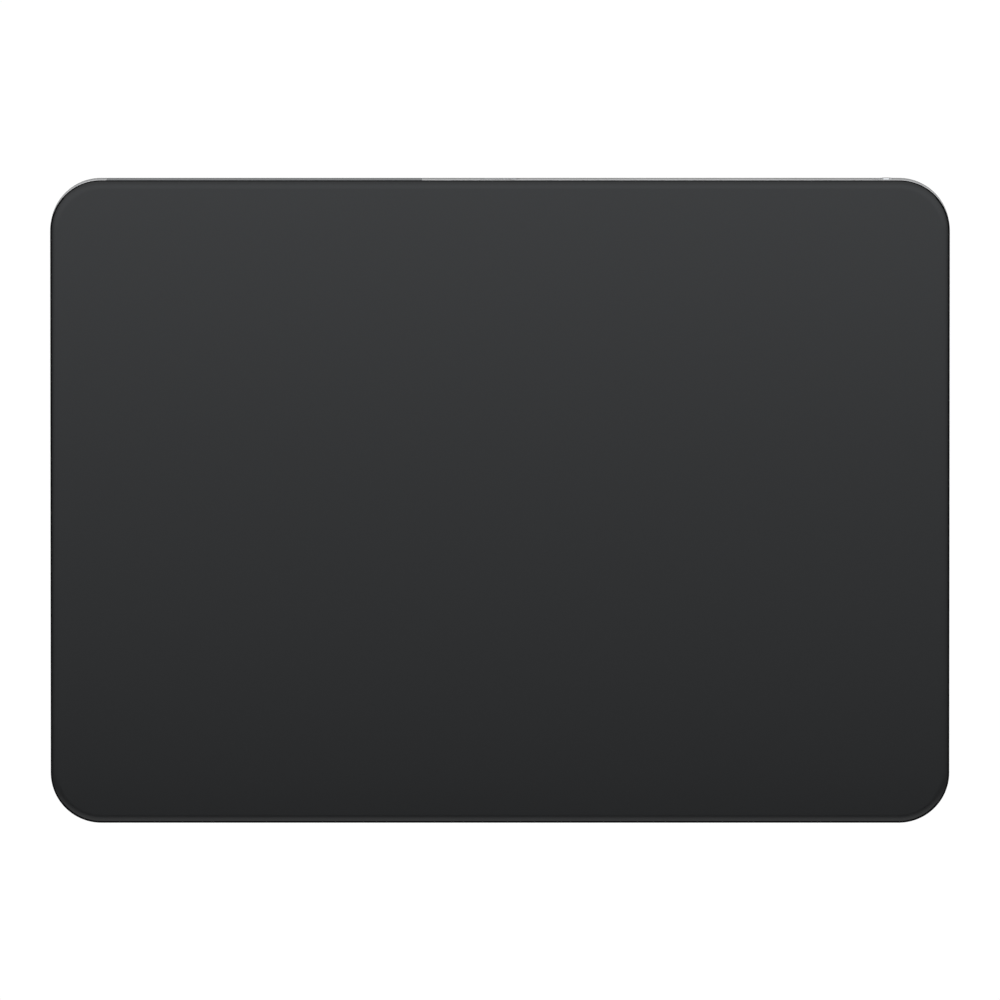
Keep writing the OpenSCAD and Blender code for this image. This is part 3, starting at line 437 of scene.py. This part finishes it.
# %% The tree that carries a profile round a rounded rectangle
slab, taken, given = new_tree("rounded_slab", {
    "Width": "Float", "Depth": "Float", "Corner Radius": "Float", "Corner Steps": "Int", "Slope": "Float",
    "Finish": "Material"})
rows = put(slab, "GeometryNodeAttributeDomainSize", {0: taken["Mesh"]}).outputs["Point Count"]
per_corner = calc(slab, "ADD", taken["Corner Steps"], 1)
columns = calc(slab, "ADD", calc(slab, "MULTIPLY", per_corner, 4), 1)
index = put(slab, "GeometryNodeInputIndex").outputs[0]
column = calc(slab, "FLOOR", calc(slab, "DIVIDE", index, rows))
corner = calc(slab, "FLOOR", calc(slab, "DIVIDE", column, per_corner))
part_way = calc(slab, "DIVIDE", calc(slab, "MODULO", column, per_corner), taken["Corner Steps"])
angle = calc(slab, "MULTIPLY", calc(slab, "ADD", corner, part_way), math.pi / 2)
towards = calc(slab, "MULTIPLY", calc(slab, "ADD", corner, 0.5), math.pi / 2)


def profile_point(row):
    """The profile's point in that row, as its three numbers."""
    place = put(slab, "GeometryNodeInputPosition").outputs[0]
    sampled = put(slab, "GeometryNodeSampleIndex", {"Geometry": taken["Mesh"], "Index": row},
                  data_type="FLOAT_VECTOR", domain="POINT")
    slab.links.new(place, sampled.inputs["Value"])
    return put(slab, "ShaderNodeSeparateXYZ", {0: sampled.outputs[0]}).outputs


def along(size, wave):
    """Where the profile stands in one direction: at the corner's axis, and its reach beyond that."""
    axis = calc(slab, "SUBTRACT", calc(slab, "MULTIPLY", size, 0.5), taken["Corner Radius"])
    side = calc(slab, "SIGN", calc(slab, wave, towards))
    reach = calc(slab, "MULTIPLY", profile[0], calc(slab, wave, angle))
    return calc(slab, "ADD", calc(slab, "MULTIPLY", side, axis), reach)


profile = profile_point(calc(slab, "MODULO", index, rows))
x = along(taken["Width"], "COSINE")
y = along(taken["Depth"], "SINE")
lift = calc(slab, "MULTIPLY", calc(slab, "MULTIPLY", profile[1], taken["Slope"]), y)
spot = put(slab, "ShaderNodeCombineXYZ", {"X": x, "Y": y, "Z": calc(slab, "ADD", profile[2], lift)})
sheet = put(slab, "GeometryNodeMeshGrid", {"Vertices X": columns, "Vertices Y": rows})
border = put(slab, "GeometryNodeSetPosition", {
    "Geometry": sheet.outputs["Mesh"], "Position": spot.outputs[0]})

# %% The two flat middles, and the end of that tree
SAME_POINT = 0.0005 * MM
joined = put(slab, "GeometryNodeJoinGeometry", {0: border.outputs[0]})


def middle(row, faces_down):
    """Fills the rectangle between the four corners' axes at the height of a profile's end."""
    size = {"Vertices X": 2, "Vertices Y": 2}
    for label, whole in (("Size X", "Width"), ("Size Y", "Depth")):
        size[label] = calc(slab, "SUBTRACT", taken[whole], calc(slab, "MULTIPLY", taken["Corner Radius"], 2))
    flat = put(slab, "GeometryNodeMeshGrid", size).outputs["Mesh"]
    level = put(slab, "ShaderNodeCombineXYZ", {"Z": profile_point(row)[2]}).outputs[0]
    filled = put(slab, "GeometryNodeSetPosition", {"Geometry": flat, "Offset": level}).outputs[0]
    if faces_down:
        filled = put(slab, "GeometryNodeFlipFaces", {"Mesh": filled}).outputs[0]
    slab.links.new(filled, joined.inputs[0])


middle(0, True)
middle(calc(slab, "SUBTRACT", rows, 1), False)
closed = put(slab, "GeometryNodeMergeByDistance", {"Geometry": joined.outputs[0], "Distance": SAME_POINT})
wrap_up(slab, closed.outputs[0], given, taken["Finish"])

# %% [markdown]
# ## The touch glass
# One sheet covers the whole top. Its border rolls off in a gentle curve and ends in a tighter rounding, and
# that roll-off is what gives the glass its light line at the front. The edge itself is ground, and its
# steepest faces get a black finish that mirrors nothing: a painted shade, widest at the front and narrowest
# at the rear. The tree makes the sheet flat, and a matrix then lays it on the slope.


# %% Lay the glass
def arc(centre, radius, start, end, steps):
    """Points of a profile on an arc from one angle to another, in degrees from straight out."""
    angles = [math.radians(start + (end - start) * step / steps) for step in range(steps + 1)]
    return [(centre[0] + radius * math.cos(a), centre[1] + radius * math.sin(a)) for a in angles]


BODY_W = case_high.x - case_low.x
BODY_D = case_high.y - case_low.y
FRONT_H, REAR_H = 4.9 * MM, 10.9 * MM
CORNER_STEPS = 28
GLASS_T = 1.0 * MM
GLASS_INSET = 0.03 * MM
CURVE_R, CURVE_TURN = 2.8 * MM, 30
EDGE_R = 0.35 * MM
EDGE_STEPS, CURVE_STEPS = 10, 14
UNDER_EDGE = 0.08 * MM
TILT = math.atan2(REAR_H - FRONT_H, BODY_D)
MID_H = (FRONT_H + REAR_H) / 2

curved = math.radians(CURVE_TURN)
curve_x = CORNER_R - EDGE_R - (CURVE_R - EDGE_R) * math.sin(curved)
edge_z = GLASS_T - CURVE_R + (CURVE_R - EDGE_R) * math.cos(curved)
outline = [(0, 0), (CORNER_R - UNDER_EDGE, 0), (CORNER_R, UNDER_EDGE)]
outline += arc((CORNER_R - EDGE_R, edge_z), EDGE_R, 0, 90 - CURVE_TURN, EDGE_STEPS)
outline += arc((curve_x, GLASS_T - CURVE_R), CURVE_R, 90 - CURVE_TURN, 90, CURVE_STEPS)[1:]
outline.append((0, GLASS_T))
glass = grow(slab, "touch_glass_sheet", [(reach, 0, height) for reach, height in outline], {
    "Width": BODY_W - 2 * GLASS_INSET, "Depth": BODY_D / math.cos(TILT) - 2 * GLASS_INSET,
    "Corner Radius": CORNER_R, "Corner Steps": CORNER_STEPS, "Finish": FINISH["black_touch_glass"]})

# Painted edge shade: border faces steeper than this go black, sooner at the front, later at the rear.
EDGE_SHADE_FROM, FRONT_LESS, REAR_MORE = 28, 2, 8
REAR_FADE = 5
NEARLY_LEVEL = 1e-6


def in_painted_edge_shade(normal):
    """Whether a face takes the painted edge shade: it starts soonest at the front, latest at the rear."""
    facing = normal.y / max(normal.to_2d().length, NEARLY_LEVEL)
    start = EDGE_SHADE_FROM + (facing ** REAR_FADE * REAR_MORE if facing > 0 else facing * FRONT_LESS)
    return abs(normal.z) < math.cos(math.radians(start))


# The faces in the painted edge shade take the black edge finish.
glass.data.materials.append(FINISH["ground_edge_painted_shade"])
for face in glass.data.polygons:
    face.material_index = int(in_painted_edge_shade(face.normal))

square_edge = GLASS_T / 2 * math.tan(TILT)
on_slope = Matrix.Translation((0, 0, MID_H)) @ Matrix.Rotation(TILT, 4, "X")
glass.data.transform(on_slope @ Matrix.Translation((0, -square_edge, -GLASS_T)))


# %% Give a piece its body
def settle(piece, body, slot, *nodes):
    """A finished piece takes its solids' place on their body."""
    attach(piece, body)
    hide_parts(*nodes)
    print(f"{piece.name}: {len(piece.data.polygons)} faces for {', '.join(nodes)}")


settle(glass, "base", "black_touch_glass", "touch_glass")

# %% [markdown]
# ## The case
# The real case is milled from one block: a tray whose walls turn into the floor with a round edge, and whose
# rim is cut on the slope. The same tree makes the tray, with its rim points set to follow the slope.

# %% Sweep the tray
WALL_T, FLOOR_T = 2.0 * MM, 1.0 * MM
FOOT_ROUND = 1.5 * MM
INNER_ROUND = FOOT_ROUND - FLOOR_T
OUTER_STEPS, INNER_STEPS = 14, 6
RIM_DEPTH = 1.15 * MM
FINE_EDGE = 0.06 * MM
under_z = case_low.z
floor_z = under_z + FLOOR_T
rim_z = MID_H - RIM_DEPTH / math.cos(TILT)
inner_x = CORNER_R - WALL_T
outside = arc((CORNER_R - FOOT_ROUND, under_z + FOOT_ROUND), FOOT_ROUND, -90, 0, OUTER_STEPS)
rim = [(CORNER_R, rim_z - FINE_EDGE), (CORNER_R - FINE_EDGE, rim_z)]
rim += [(inner_x + FINE_EDGE, rim_z), (inner_x, rim_z - FINE_EDGE)]
inside = arc((inner_x - INNER_ROUND, floor_z + INNER_ROUND), INNER_ROUND, 0, -90, INNER_STEPS)
tray_line = [(0, 0, under_z)] + [(reach, 0, height) for reach, height in outside]
tray_line += [(reach, 1, height) for reach, height in rim]
tray_line += [(reach, 0, height) for reach, height in inside] + [(0, 0, floor_z)]
case = grow(slab, "milled_case", tray_line, {
    "Width": BODY_W, "Depth": BODY_D, "Corner Radius": CORNER_R, "Corner Steps": CORNER_STEPS,
    "Slope": math.tan(TILT), "Finish": FINISH["anodised_aluminium"]})
print("tray with", len(case.data.polygons), "faces")

# %% [markdown]
# What the cutter leaves standing inside the tray, and what it takes out of the walls, are simple turned or
# straight shapes. Each is lofted through rings of points, and a Boolean adds or removes them all at once.


# %% Shapes lofted through rings
def loft(name, rings, material=None, ring_closed=False):
    """A closed shape through rings of points: its ends are filled, or its last ring joins its first."""
    shape = bmesh.new()
    loops = [[shape.verts.new(point) for point in ring] for ring in rings]
    pairs = list(zip(loops, loops[1:])) + ([(loops[-1], loops[0])] if ring_closed else [])
    for low, high in pairs:
        for i in range(len(low)):
            j = (i + 1) % len(low)
            shape.faces.new((low[i], low[j], high[j], high[i]))
    if not ring_closed:
        shape.faces.new(loops[0][::-1])
        shape.faces.new(loops[-1])
    bmesh.ops.recalc_face_normals(shape, faces=shape.faces)
    for face in shape.faces:
        face.smooth = True
    mesh = bpy.data.meshes.new(name)
    shape.to_mesh(mesh)
    shape.free()
    mesh.set_sharp_from_angle(angle=HARD_EDGE)
    mesh.materials.append(material)
    made = bpy.data.objects.new(name, mesh)
    bpy.context.scene.collection.objects.link(made)
    return made


def disc(centre, radius, z, steps=64):
    """A level ring of points."""
    angles = [2 * math.pi * step / steps for step in range(steps)]
    return [(centre.x + radius * math.cos(a), centre.y + radius * math.sin(a), z) for a in angles]


def turned(name, centre, levels):
    """A shape turned on an upright axis, through levels given as (radius, z)."""
    return loft(name, [disc(centre, radius, z) for radius, z in levels])


def block(name, low, high, edge):
    """A bar between two corners, with its upper edges broken."""
    levels = ((0, low.z), (0, high.z - edge), (edge, high.z))
    return loft(name, [[(low.x + inset, low.y + inset, z), (high.x - inset, low.y + inset, z),
                        (high.x - inset, high.y - inset, z), (low.x + inset, high.y - inset, z)]
                       for inset, z in levels])


# %% Add to a piece, cut it, and find what it carries
def work(piece, operation, shapes):
    """One Boolean with all those shapes, which are then thrown away."""
    group = bpy.data.collections.new(operation)
    for shape in shapes:
        group.objects.link(shape)
    step = piece.modifiers.new(operation, "BOOLEAN")
    step.operation, step.solver, step.operand_type = operation, "EXACT", "COLLECTION"
    step.collection = group
    bake(piece)
    for shape in shapes:
        bpy.data.objects.remove(shape)
    bpy.data.collections.remove(group)
    print(f"{piece.name}: {operation.lower()} of {len(shapes)} shapes, {len(piece.data.polygons)} faces")


WELD = 0.001 * MM


def solids_in(node):
    """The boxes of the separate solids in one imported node, from left to right and front to rear."""
    shape = bmesh.new()
    shape.from_mesh(SOLIDS[node].data)
    bmesh.ops.remove_doubles(shape, verts=shape.verts, dist=WELD)
    waiting, boxes = set(shape.verts), []
    while waiting:
        island, border = [], [waiting.pop()]
        while border:
            vert = border.pop()
            island.append(vert.co.copy())
            near = {edge.other_vert(vert) for edge in vert.link_edges} & waiting
            waiting -= near
            border += near
        boxes.append((Vector(map(min, zip(*island))), Vector(map(max, zip(*island)))))
    shape.free()
    return sorted(boxes, key=lambda box: [round(side / MM, 2) for side in box[0]])


# %% Bosses, posts and ribs inside the tray
CORNERS = ("front_left", "front_right", "rear_left", "rear_right")
FOOT_PLAY, POCKET_DEPTH, ROOF_T = 0.3 * MM, 0.6 * MM, 0.8 * MM
POST_D, PAD_D = 3.4 * MM, 5.0 * MM
PEDESTAL_L = 3.6 * MM
RIB_T, RIB_H, RIB_GAP = 0.8 * MM, 1.2 * MM, 0.2 * MM
MILLED_EDGE = 0.1 * MM
ROOT = floor_z - FLOOR_T / 2
flexure_low, flexure_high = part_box("force_flexure_front_left")
foot_low, foot_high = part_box("foot_pad_front_left")
pocket_r = (foot_high.x - foot_low.x) / 2 + FOOT_PLAY
foot_centre = {}
SCREWED = ("board_screws", "port_screws", "haptic_screws", "flexure_screws")
screw_boxes = {node: solids_in(node) for node in SCREWED}


def post(centre, radius, top):
    return turned("post", centre, ((radius, ROOT), (radius, top - MILLED_EDGE), (radius - MILLED_EDGE, top)))


standing = []
for corner_name in CORNERS:
    low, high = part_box("foot_pad_" + corner_name)
    foot_centre[corner_name] = (low + high) / 2
    standing.append(post(foot_centre[corner_name], pocket_r + ROOF_T, under_z + POCKET_DEPTH + ROOF_T))
POSTS = (("board_screws", POST_D, "logic_board"), ("port_screws", POST_D, "logic_board"),
         ("haptic_screws", PAD_D, "haptic_frame"))
for node, wide, carried in POSTS:
    standing += [post((low + high) / 2, wide / 2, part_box(carried)[0].z) for low, high in screw_boxes[node]]
half_pedestal = Vector((PEDESTAL_L / 2, (flexure_high.y - flexure_low.y) / 2, 0))
for low, high in screw_boxes["flexure_screws"]:
    foot = ((low + high) / 2).to_2d().to_3d()
    standing.append(block("pedestal", foot - half_pedestal + Vector((0, 0, ROOT)),
                          foot + half_pedestal + Vector((0, 0, flexure_low.z)), MILLED_EDGE))
for low, high in solids_in("battery_cells"):
    side = math.copysign(1, low.x + high.x)
    near, far = sorted((low.x, high.x), key=abs)
    face_x = far + side * RIB_GAP
    back_x = face_x + side * RIB_T
    face_y = low.y - RIB_GAP
    for x, y in ((near, face_y), (face_x, high.y - PEDESTAL_L)):
        standing.append(block("rib", Vector((min(x, back_x), face_y - RIB_T, ROOT)),
                              Vector((max(x, back_x), y, floor_z + RIB_H)), MILLED_EDGE))
work(case, "UNION", standing)

# %% [markdown]
# The openings flare at the mouth, as a deburred edge does. The antenna window's gap gets the same broken
# edge, so that a fine line shows between metal and plastic.


# %% Openings in the rear wall
def stadium(at, width, height, grown=0.0, steps=12):
    """A ring with two round ends, square to the rear wall, round a point on its axis."""
    x, y, z = at
    radius = height / 2 + grown
    straight = (width - height) / 2
    ring = []
    for middle_x, start in ((x + straight, -90), (x - straight, 90)):
        for step in range(steps + 1):
            a = math.radians(start + 180 * step / steps)
            ring.append((middle_x + radius * math.cos(a), y, z + radius * math.sin(a)))
    return ring


def round_edge(at, width, height, radius, steps):
    """Rings that end a stadium in a round edge: flared, or drawn in where the radius is negative."""
    x, y, z = at
    rings = []
    for step in range(steps + 1):
        a = math.radians(90 * step / steps)
        back = abs(radius) * (1 - math.sin(a))
        rings.append(stadium((x, y - back, z), width, height, radius * (1 - math.cos(a))))
    return rings


REAR_Z = 5.5 * MM
PORT_W, PORT_H = 7.2 * MM, 2.4 * MM
SLOT_W, SLOT_H = 4.3 * MM, 2.0 * MM
MOUTH, MOUTH_STEPS = 0.03 * MM, 5
PAST = 1.0 * MM
KNOB_PLAY = 0.1 * MM
rear_y = case_high.y
inner_y = rear_y - WALL_T
knob_low, knob_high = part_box("switch_knob")
slot_x = knob_high.x + KNOB_PLAY - SLOT_W / 2


def mouth_cutter(x, width, height):
    """A stadium bar through the rear wall whose outer edge flares in a round."""
    rings = [stadium((x, inner_y - PAST, REAR_Z), width, height)]
    rings += round_edge((x, rear_y, REAR_Z), width, height, MOUTH, MOUTH_STEPS)
    rings.append(stadium((x, rear_y + PAST, REAR_Z), width, height, MOUTH))
    return loft("mouth", rings)


WINDOW_W = 56.0 * MM
window_low, window_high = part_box("antenna_window")
window_x0 = (window_low.x + window_high.x - WINDOW_W) / 2
window_x1 = window_x0 + WINDOW_W


def window_ring(y, grown):
    left, right, foot = window_x0 - grown, window_x1 + grown, window_low.z - grown
    return [(left, y, foot), (right, y, foot), (right, y, REAR_H), (left, y, REAR_H)]


window_cutter = loft("gap", [window_ring(inner_y - PAST, 0), window_ring(rear_y - FINE_EDGE, 0),
                             window_ring(rear_y + PAST, PAST + FINE_EDGE)])

# %% [markdown]
# Each foot sits in a shallow pocket in the underside, and its stud goes up through a hole in the pocket's
# roof to the sprung plate above. The posts and pedestals get the holes that the screws bite into.

# %% Foot pockets and screw holes
STUD_HOLE_D = 3.4 * MM
HOLE_D, HOLE_SPARE = 1.4 * MM, 0.2 * MM
POCKET_EDGE = 0.12 * MM
roof_z = under_z + POCKET_DEPTH
pocket_levels = ((pocket_r + POCKET_EDGE + PAST, under_z - PAST), (pocket_r, under_z + POCKET_EDGE),
                 (pocket_r, roof_z), (STUD_HOLE_D / 2, roof_z), (STUD_HOLE_D / 2, floor_z + PAST))
cutters = [mouth_cutter(0, PORT_W, PORT_H), mouth_cutter(slot_x, SLOT_W, SLOT_H), window_cutter]
cutters += [turned("pocket", centre, pocket_levels) for centre in foot_centre.values()]
for boxes in screw_boxes.values():
    cutters += [turned("hole", (low + high) / 2, ((HOLE_D / 2, low.z - HOLE_SPARE), (HOLE_D / 2, high.z)))
                for low, high in boxes]
work(case, "DIFFERENCE", cutters)

# %% [markdown]
# The port's mouth and the switch's slot are cut after the case is blasted, so their walls are smoother than
# the outside and mirror the dark inside more clearly.

# %% Finish the cut walls
FACES_REAR = 0.99


def is_cut(face):
    """Whether a face is a wall of the port's mouth or of the slot."""
    at = face.center
    in_wall = inner_y < at.y < rear_y and abs(face.normal.y) < FACES_REAR
    in_reach = any(abs(at.x - x) < width / 2 + MOUTH for x, width in ((0, PORT_W), (slot_x, SLOT_W)))
    return in_wall and in_reach and abs(at.z - REAR_Z) < PORT_H / 2 + MOUTH


case.data.materials.append(FINISH["cut_aluminium"])
cut_faces = [face for face in case.data.polygons if is_cut(face)]
for face in cut_faces:
    face.material_index = 1
print(len(cut_faces), "cut faces")

# %% [markdown]
# A Boolean leaves large flat faces that meet small rounded ones, and plain smooth shading would smear light
# over them. Weighted normals let the large faces keep their own direction.

# %% Shade the case
case.data.set_sharp_from_angle(angle=HARD_EDGE)
even = case.modifiers.new("even", "WEIGHTED_NORMAL")
even.keep_sharp = True
even.weight = 100
bake(case)
settle(case, "base", "anodised_aluminium", "lower_case")

# %% [markdown]
# ## The antenna window
# A radio can't reach through metal, so part of the rear wall is plastic. It is one moulding: a bar that is
# flush with the wall, and a lip behind it that laps the metal at both ends. Seen from above that is a fixed
# outline, so it is lofted upwards, and its outer edges are broken to leave a fine line round it.


# %% Mould the window
def rim_height(y):
    """Height of the case's rim, which follows the slope."""
    return rim_z + y * math.tan(TILT)


def window_outline(front_y):
    """The window from above, with its outer face at front_y."""
    cut = rear_y - FINE_EDGE
    left = [(window_x0 + FINE_EDGE, front_y), (window_x0, cut), (window_x0, inner_y),
            (window_low.x, inner_y), (window_low.x, window_low.y)]
    return left + [(window_x0 + window_x1 - x, y) for x, y in left[::-1]]


window_levels = ((rear_y - FINE_EDGE, False, 0), (rear_y, False, FINE_EDGE),
                 (rear_y, True, -FINE_EDGE), (rear_y - FINE_EDGE, True, 0))
window_rings = []
for front_y, at_rim, step in window_levels:
    window_rings.append([(x, y, (rim_height(y) if at_rim else window_low.z) + step)
                         for x, y in window_outline(front_y)])
window = loft("antenna_window_bar", window_rings, FINISH["antenna_plastic"])
settle(window, "base", "antenna_plastic", "antenna_window")

# %% [markdown]
# ## The power switch
# The knob is turned from aluminium with round ends, and its outer edge is rounded so that a fingernail
# slides on it. It rides on the switch's own body, together with the plate that closes the slot.

# %% Turn the knob
knob_x, knob_w = (knob_low.x + knob_high.x) / 2, knob_high.x - knob_low.x
knob_h = knob_high.z - knob_low.z
KNOB_ROUND, KNOB_STEPS = 0.16 * MM, 6
knob_rings = [stadium((knob_x, knob_low.y, REAR_Z), knob_w, knob_h)]
knob_rings += round_edge((knob_x, knob_high.y, REAR_Z), knob_w, knob_h, -KNOB_ROUND, KNOB_STEPS)
knob = loft("power_knob", knob_rings, FINISH["knob_aluminium"])
settle(knob, "power_switch", "knob_aluminium", "switch_knob")

# %% [markdown]
# ## The charging port
# A drawn steel sleeve stands behind the mouth in the wall, with a row of sprung contacts on the plastic
# inside it. Contacts repeat, so a small tree bends one finger and sets it out in a row.

# %% Draw the port's sleeve
sleeve_low, sleeve_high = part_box("charge_port_shell")
skin = sleeve_high.x - sleeve_low.x, sleeve_high.z - sleeve_low.z
bore = PORT_W, PORT_H
sleeve_levels = (
    (sleeve_low.y, skin, 0), (sleeve_high.y - FINE_EDGE, skin, 0), (sleeve_high.y, skin, -FINE_EDGE),
    (sleeve_high.y, bore, FINE_EDGE), (sleeve_high.y - FINE_EDGE, bore, 0), (sleeve_low.y, bore, 0))
sleeve_rings = [stadium((0, y, REAR_Z), *size, grown) for y, size, grown in sleeve_levels]
sleeve = loft("port_sleeve", sleeve_rings, FINISH["port_steel"], ring_closed=True)
settle(sleeve, "base", "port_steel", "charge_port_shell")

# %% The tree that bends a finger and repeats it
FINGER_POINTS = 17
fingers, taken, given = new_tree("contact_row", {
    "Count": "Int", "Pitch": "Float", "Width": "Float", "Length": "Float", "Thickness": "Float",
    "Bow": "Float", "Finish": "Material"})
bar = put(fingers, "GeometryNodeMeshCube", {"Vertices X": 2, "Vertices Y": FINGER_POINTS, "Vertices Z": 2})
size = put(fingers, "ShaderNodeCombineXYZ", {
    "X": taken["Width"], "Y": taken["Length"], "Z": taken["Thickness"]})
fingers.links.new(size.outputs[0], bar.inputs["Size"])
spot = put(fingers, "ShaderNodeSeparateXYZ", {0: put(fingers, "GeometryNodeInputPosition").outputs[0]})
share = calc(fingers, "ADD", calc(fingers, "DIVIDE", spot.outputs["Y"], taken["Length"]), 0.5)
wave = calc(fingers, "SINE", calc(fingers, "MULTIPLY", share, math.pi))
rise = calc(fingers, "MULTIPLY", calc(fingers, "POWER", wave, 2.0), taken["Bow"])
raised = put(fingers, "ShaderNodeCombineXYZ", {"Z": rise}).outputs[0]
finger = put(fingers, "GeometryNodeSetPosition", {"Geometry": bar.outputs["Mesh"], "Offset": raised})
spaces = calc(fingers, "SUBTRACT", taken["Count"], 1)
first = calc(fingers, "MULTIPLY", calc(fingers, "MULTIPLY", spaces, taken["Pitch"]), -0.5)
row = put(fingers, "GeometryNodeMeshLine", {
    "Count": taken["Count"], "Start Location": put(fingers, "ShaderNodeCombineXYZ", {"X": first}).outputs[0],
    "Offset": put(fingers, "ShaderNodeCombineXYZ", {"X": taken["Pitch"]}).outputs[0]})
copies = put(fingers, "GeometryNodeInstanceOnPoints", {
    "Points": row.outputs[0], "Instance": finger.outputs[0]})
wrap_up(fingers, copies.outputs[0], given, taken["Finish"])

# %% Set out the contacts
contact_boxes = solids_in("charge_port_contacts")
first_low, first_high = contact_boxes[0]
contact = first_high - first_low
CONTACT_T = 0.12 * MM
contacts = grow(fingers, "port_contacts", [], {
    "Count": len(contact_boxes), "Pitch": contact_boxes[1][0].x - first_low.x, "Width": contact.x,
    "Length": contact.y, "Thickness": CONTACT_T, "Bow": contact.z - CONTACT_T,
    "Finish": FINISH["gold_contact"]})
row_middle = Vector((0, (first_low.y + first_high.y) / 2, first_low.z + CONTACT_T / 2))
contacts.data.transform(Matrix.Translation(row_middle))
settle(contacts, "base", "gold_contact", "charge_port_contacts")

# %% [markdown]
# ## The feet
# Each foot is a rubber disc with a rounded lower edge, moulded round the head of a steel stud. A disc is a
# rounded rectangle whose corners take up all of it, so the slab tree makes the feet too. Each one rides on
# its own body, because it can be pressed in by itself.

# %% Mould the feet
FOOT_EDGE, FOOT_TOP_EDGE = 0.35 * MM, 0.08 * MM
FOOT_EDGE_STEPS, FOOT_STEPS = 8, 20
STUD_HEAD_R, STUD_HEAD_T = 4.55 * MM, 0.4 * MM
foot_r, foot_t = (foot_high.x - foot_low.x) / 2, foot_high.z - foot_low.z
foot_line = [(0, 0)] + arc((foot_r - FOOT_EDGE, FOOT_EDGE), FOOT_EDGE, -90, 0, FOOT_EDGE_STEPS)
foot_line += [(foot_r, foot_t - FOOT_TOP_EDGE), (foot_r - FOOT_TOP_EDGE, foot_t), (STUD_HEAD_R, foot_t)]
foot_line += [(STUD_HEAD_R, foot_t - STUD_HEAD_T), (0, foot_t - STUD_HEAD_T)]
for corner_name, centre in foot_centre.items():
    pad = grow(slab, "rubber_foot_" + corner_name, [(reach, 0, height) for reach, height in foot_line], {
        "Width": 2 * foot_r, "Depth": 2 * foot_r, "Corner Radius": foot_r, "Corner Steps": FOOT_STEPS,
        "Finish": FINISH["foot_rubber"]})
    pad.data.transform(Matrix.Translation((centre.x, centre.y, foot_low.z)))
    settle(pad, "foot_" + corner_name, "foot_rubber", "foot_pad_" + corner_name)

# %% [markdown]
# ## The screws
# Seventeen small screws hold the board, the port, the motor and the sprung plates. They are all alike but
# for their length, so one tree turns a screw, cuts its cross and stands a copy on every seat, each turned to
# an angle of its own as screws are when they are driven home.

# %% The tree that makes screws
ROD_SIDES = 32
HEAD_TAPER, HEAD_ROWS = 0.86, 2
TIP_TAPER, SHANK_ROWS = 0.7, 6
screws, taken, given = new_tree("screw_set", {
    "Head Diameter": "Float", "Head Height": "Float", "Shank Diameter": "Float", "Length": "Float",
    "Drive Length": "Float", "Drive Width": "Float", "Seed": "Int", "Finish": "Material"})
head_h = taken["Head Height"]


def raise_up(mesh, height):
    lifted = put(screws, "ShaderNodeCombineXYZ", {"Z": height}).outputs[0]
    return put(screws, "GeometryNodeTransform", {"Geometry": mesh, "Translation": lifted}).outputs[0]


def rod(diameter, depth, end, taper, rows):
    """A rod whose top or bottom is drawn in, as a chamfer does."""
    made = put(screws, "GeometryNodeMeshCylinder", {
        "Vertices": ROD_SIDES, "Side Segments": rows, "Radius": calc(screws, "MULTIPLY", diameter, 0.5),
        "Depth": depth})
    drawn = put(screws, "GeometryNodeScaleElements", {
        "Geometry": made.outputs["Mesh"], "Selection": made.outputs[end], "Scale": taper}, domain="FACE")
    return drawn.outputs[0]


half_head = calc(screws, "MULTIPLY", head_h, 0.5)
head = raise_up(rod(taken["Head Diameter"], head_h, "Top", HEAD_TAPER, HEAD_ROWS), half_head)
shank_l = calc(screws, "ADD", taken["Length"], half_head)
shank_mid = calc(screws, "MULTIPLY", calc(screws, "SUBTRACT", half_head, taken["Length"]), 0.5)
shank = raise_up(rod(taken["Shank Diameter"], shank_l, "Bottom", TIP_TAPER, SHANK_ROWS), shank_mid)
body = put(screws, "GeometryNodeMeshBoolean", {"Mesh 2": head}, operation="UNION", solver="EXACT")
screws.links.new(shank, body.inputs["Mesh 2"])
drive = put(screws, "GeometryNodeMeshBoolean", {"Mesh 1": body.outputs["Mesh"]},
            operation="DIFFERENCE", solver="EXACT")
for wide, deep in (("Drive Length", "Drive Width"), ("Drive Width", "Drive Length")):
    size = put(screws, "ShaderNodeCombineXYZ", {"X": taken[wide], "Y": taken[deep], "Z": head_h}).outputs[0]
    arm = put(screws, "GeometryNodeMeshCube", {"Size": size}).outputs["Mesh"]
    screws.links.new(raise_up(arm, head_h), drive.inputs["Mesh 2"])
spin = put(screws, "FunctionNodeRandomValue", {"Max": math.tau, "Seed": taken["Seed"]}, data_type="FLOAT")
turned_by = put(screws, "ShaderNodeCombineXYZ", {"Z": spin.outputs["Value"]}).outputs[0]
copies = put(screws, "GeometryNodeInstanceOnPoints", {
    "Points": taken["Mesh"], "Instance": drive.outputs["Mesh"], "Rotation": turned_by})
wrap_up(screws, copies.outputs[0], given, taken["Finish"])

# %% Drive the screws home
HEAD_D, HEAD_T, SHANK_D = 2.4 * MM, 0.4 * MM, 1.3 * MM
DRIVE_L, DRIVE_W = 1.44 * MM, 0.29 * MM
for seed, (node, boxes) in enumerate(screw_boxes.items()):
    seats = [((low.x + high.x) / 2, (low.y + high.y) / 2, high.z - HEAD_T) for low, high in boxes]
    low, high = boxes[0]
    driven = grow(screws, "driven_" + node, seats, {
        "Head Diameter": HEAD_D, "Head Height": HEAD_T, "Shank Diameter": SHANK_D,
        "Length": high.z - HEAD_T - low.z, "Drive Length": DRIVE_L, "Drive Width": DRIVE_W, "Seed": seed,
        "Finish": FINISH["screw_steel"]})
    settle(driven, "base", "screw_steel", node)
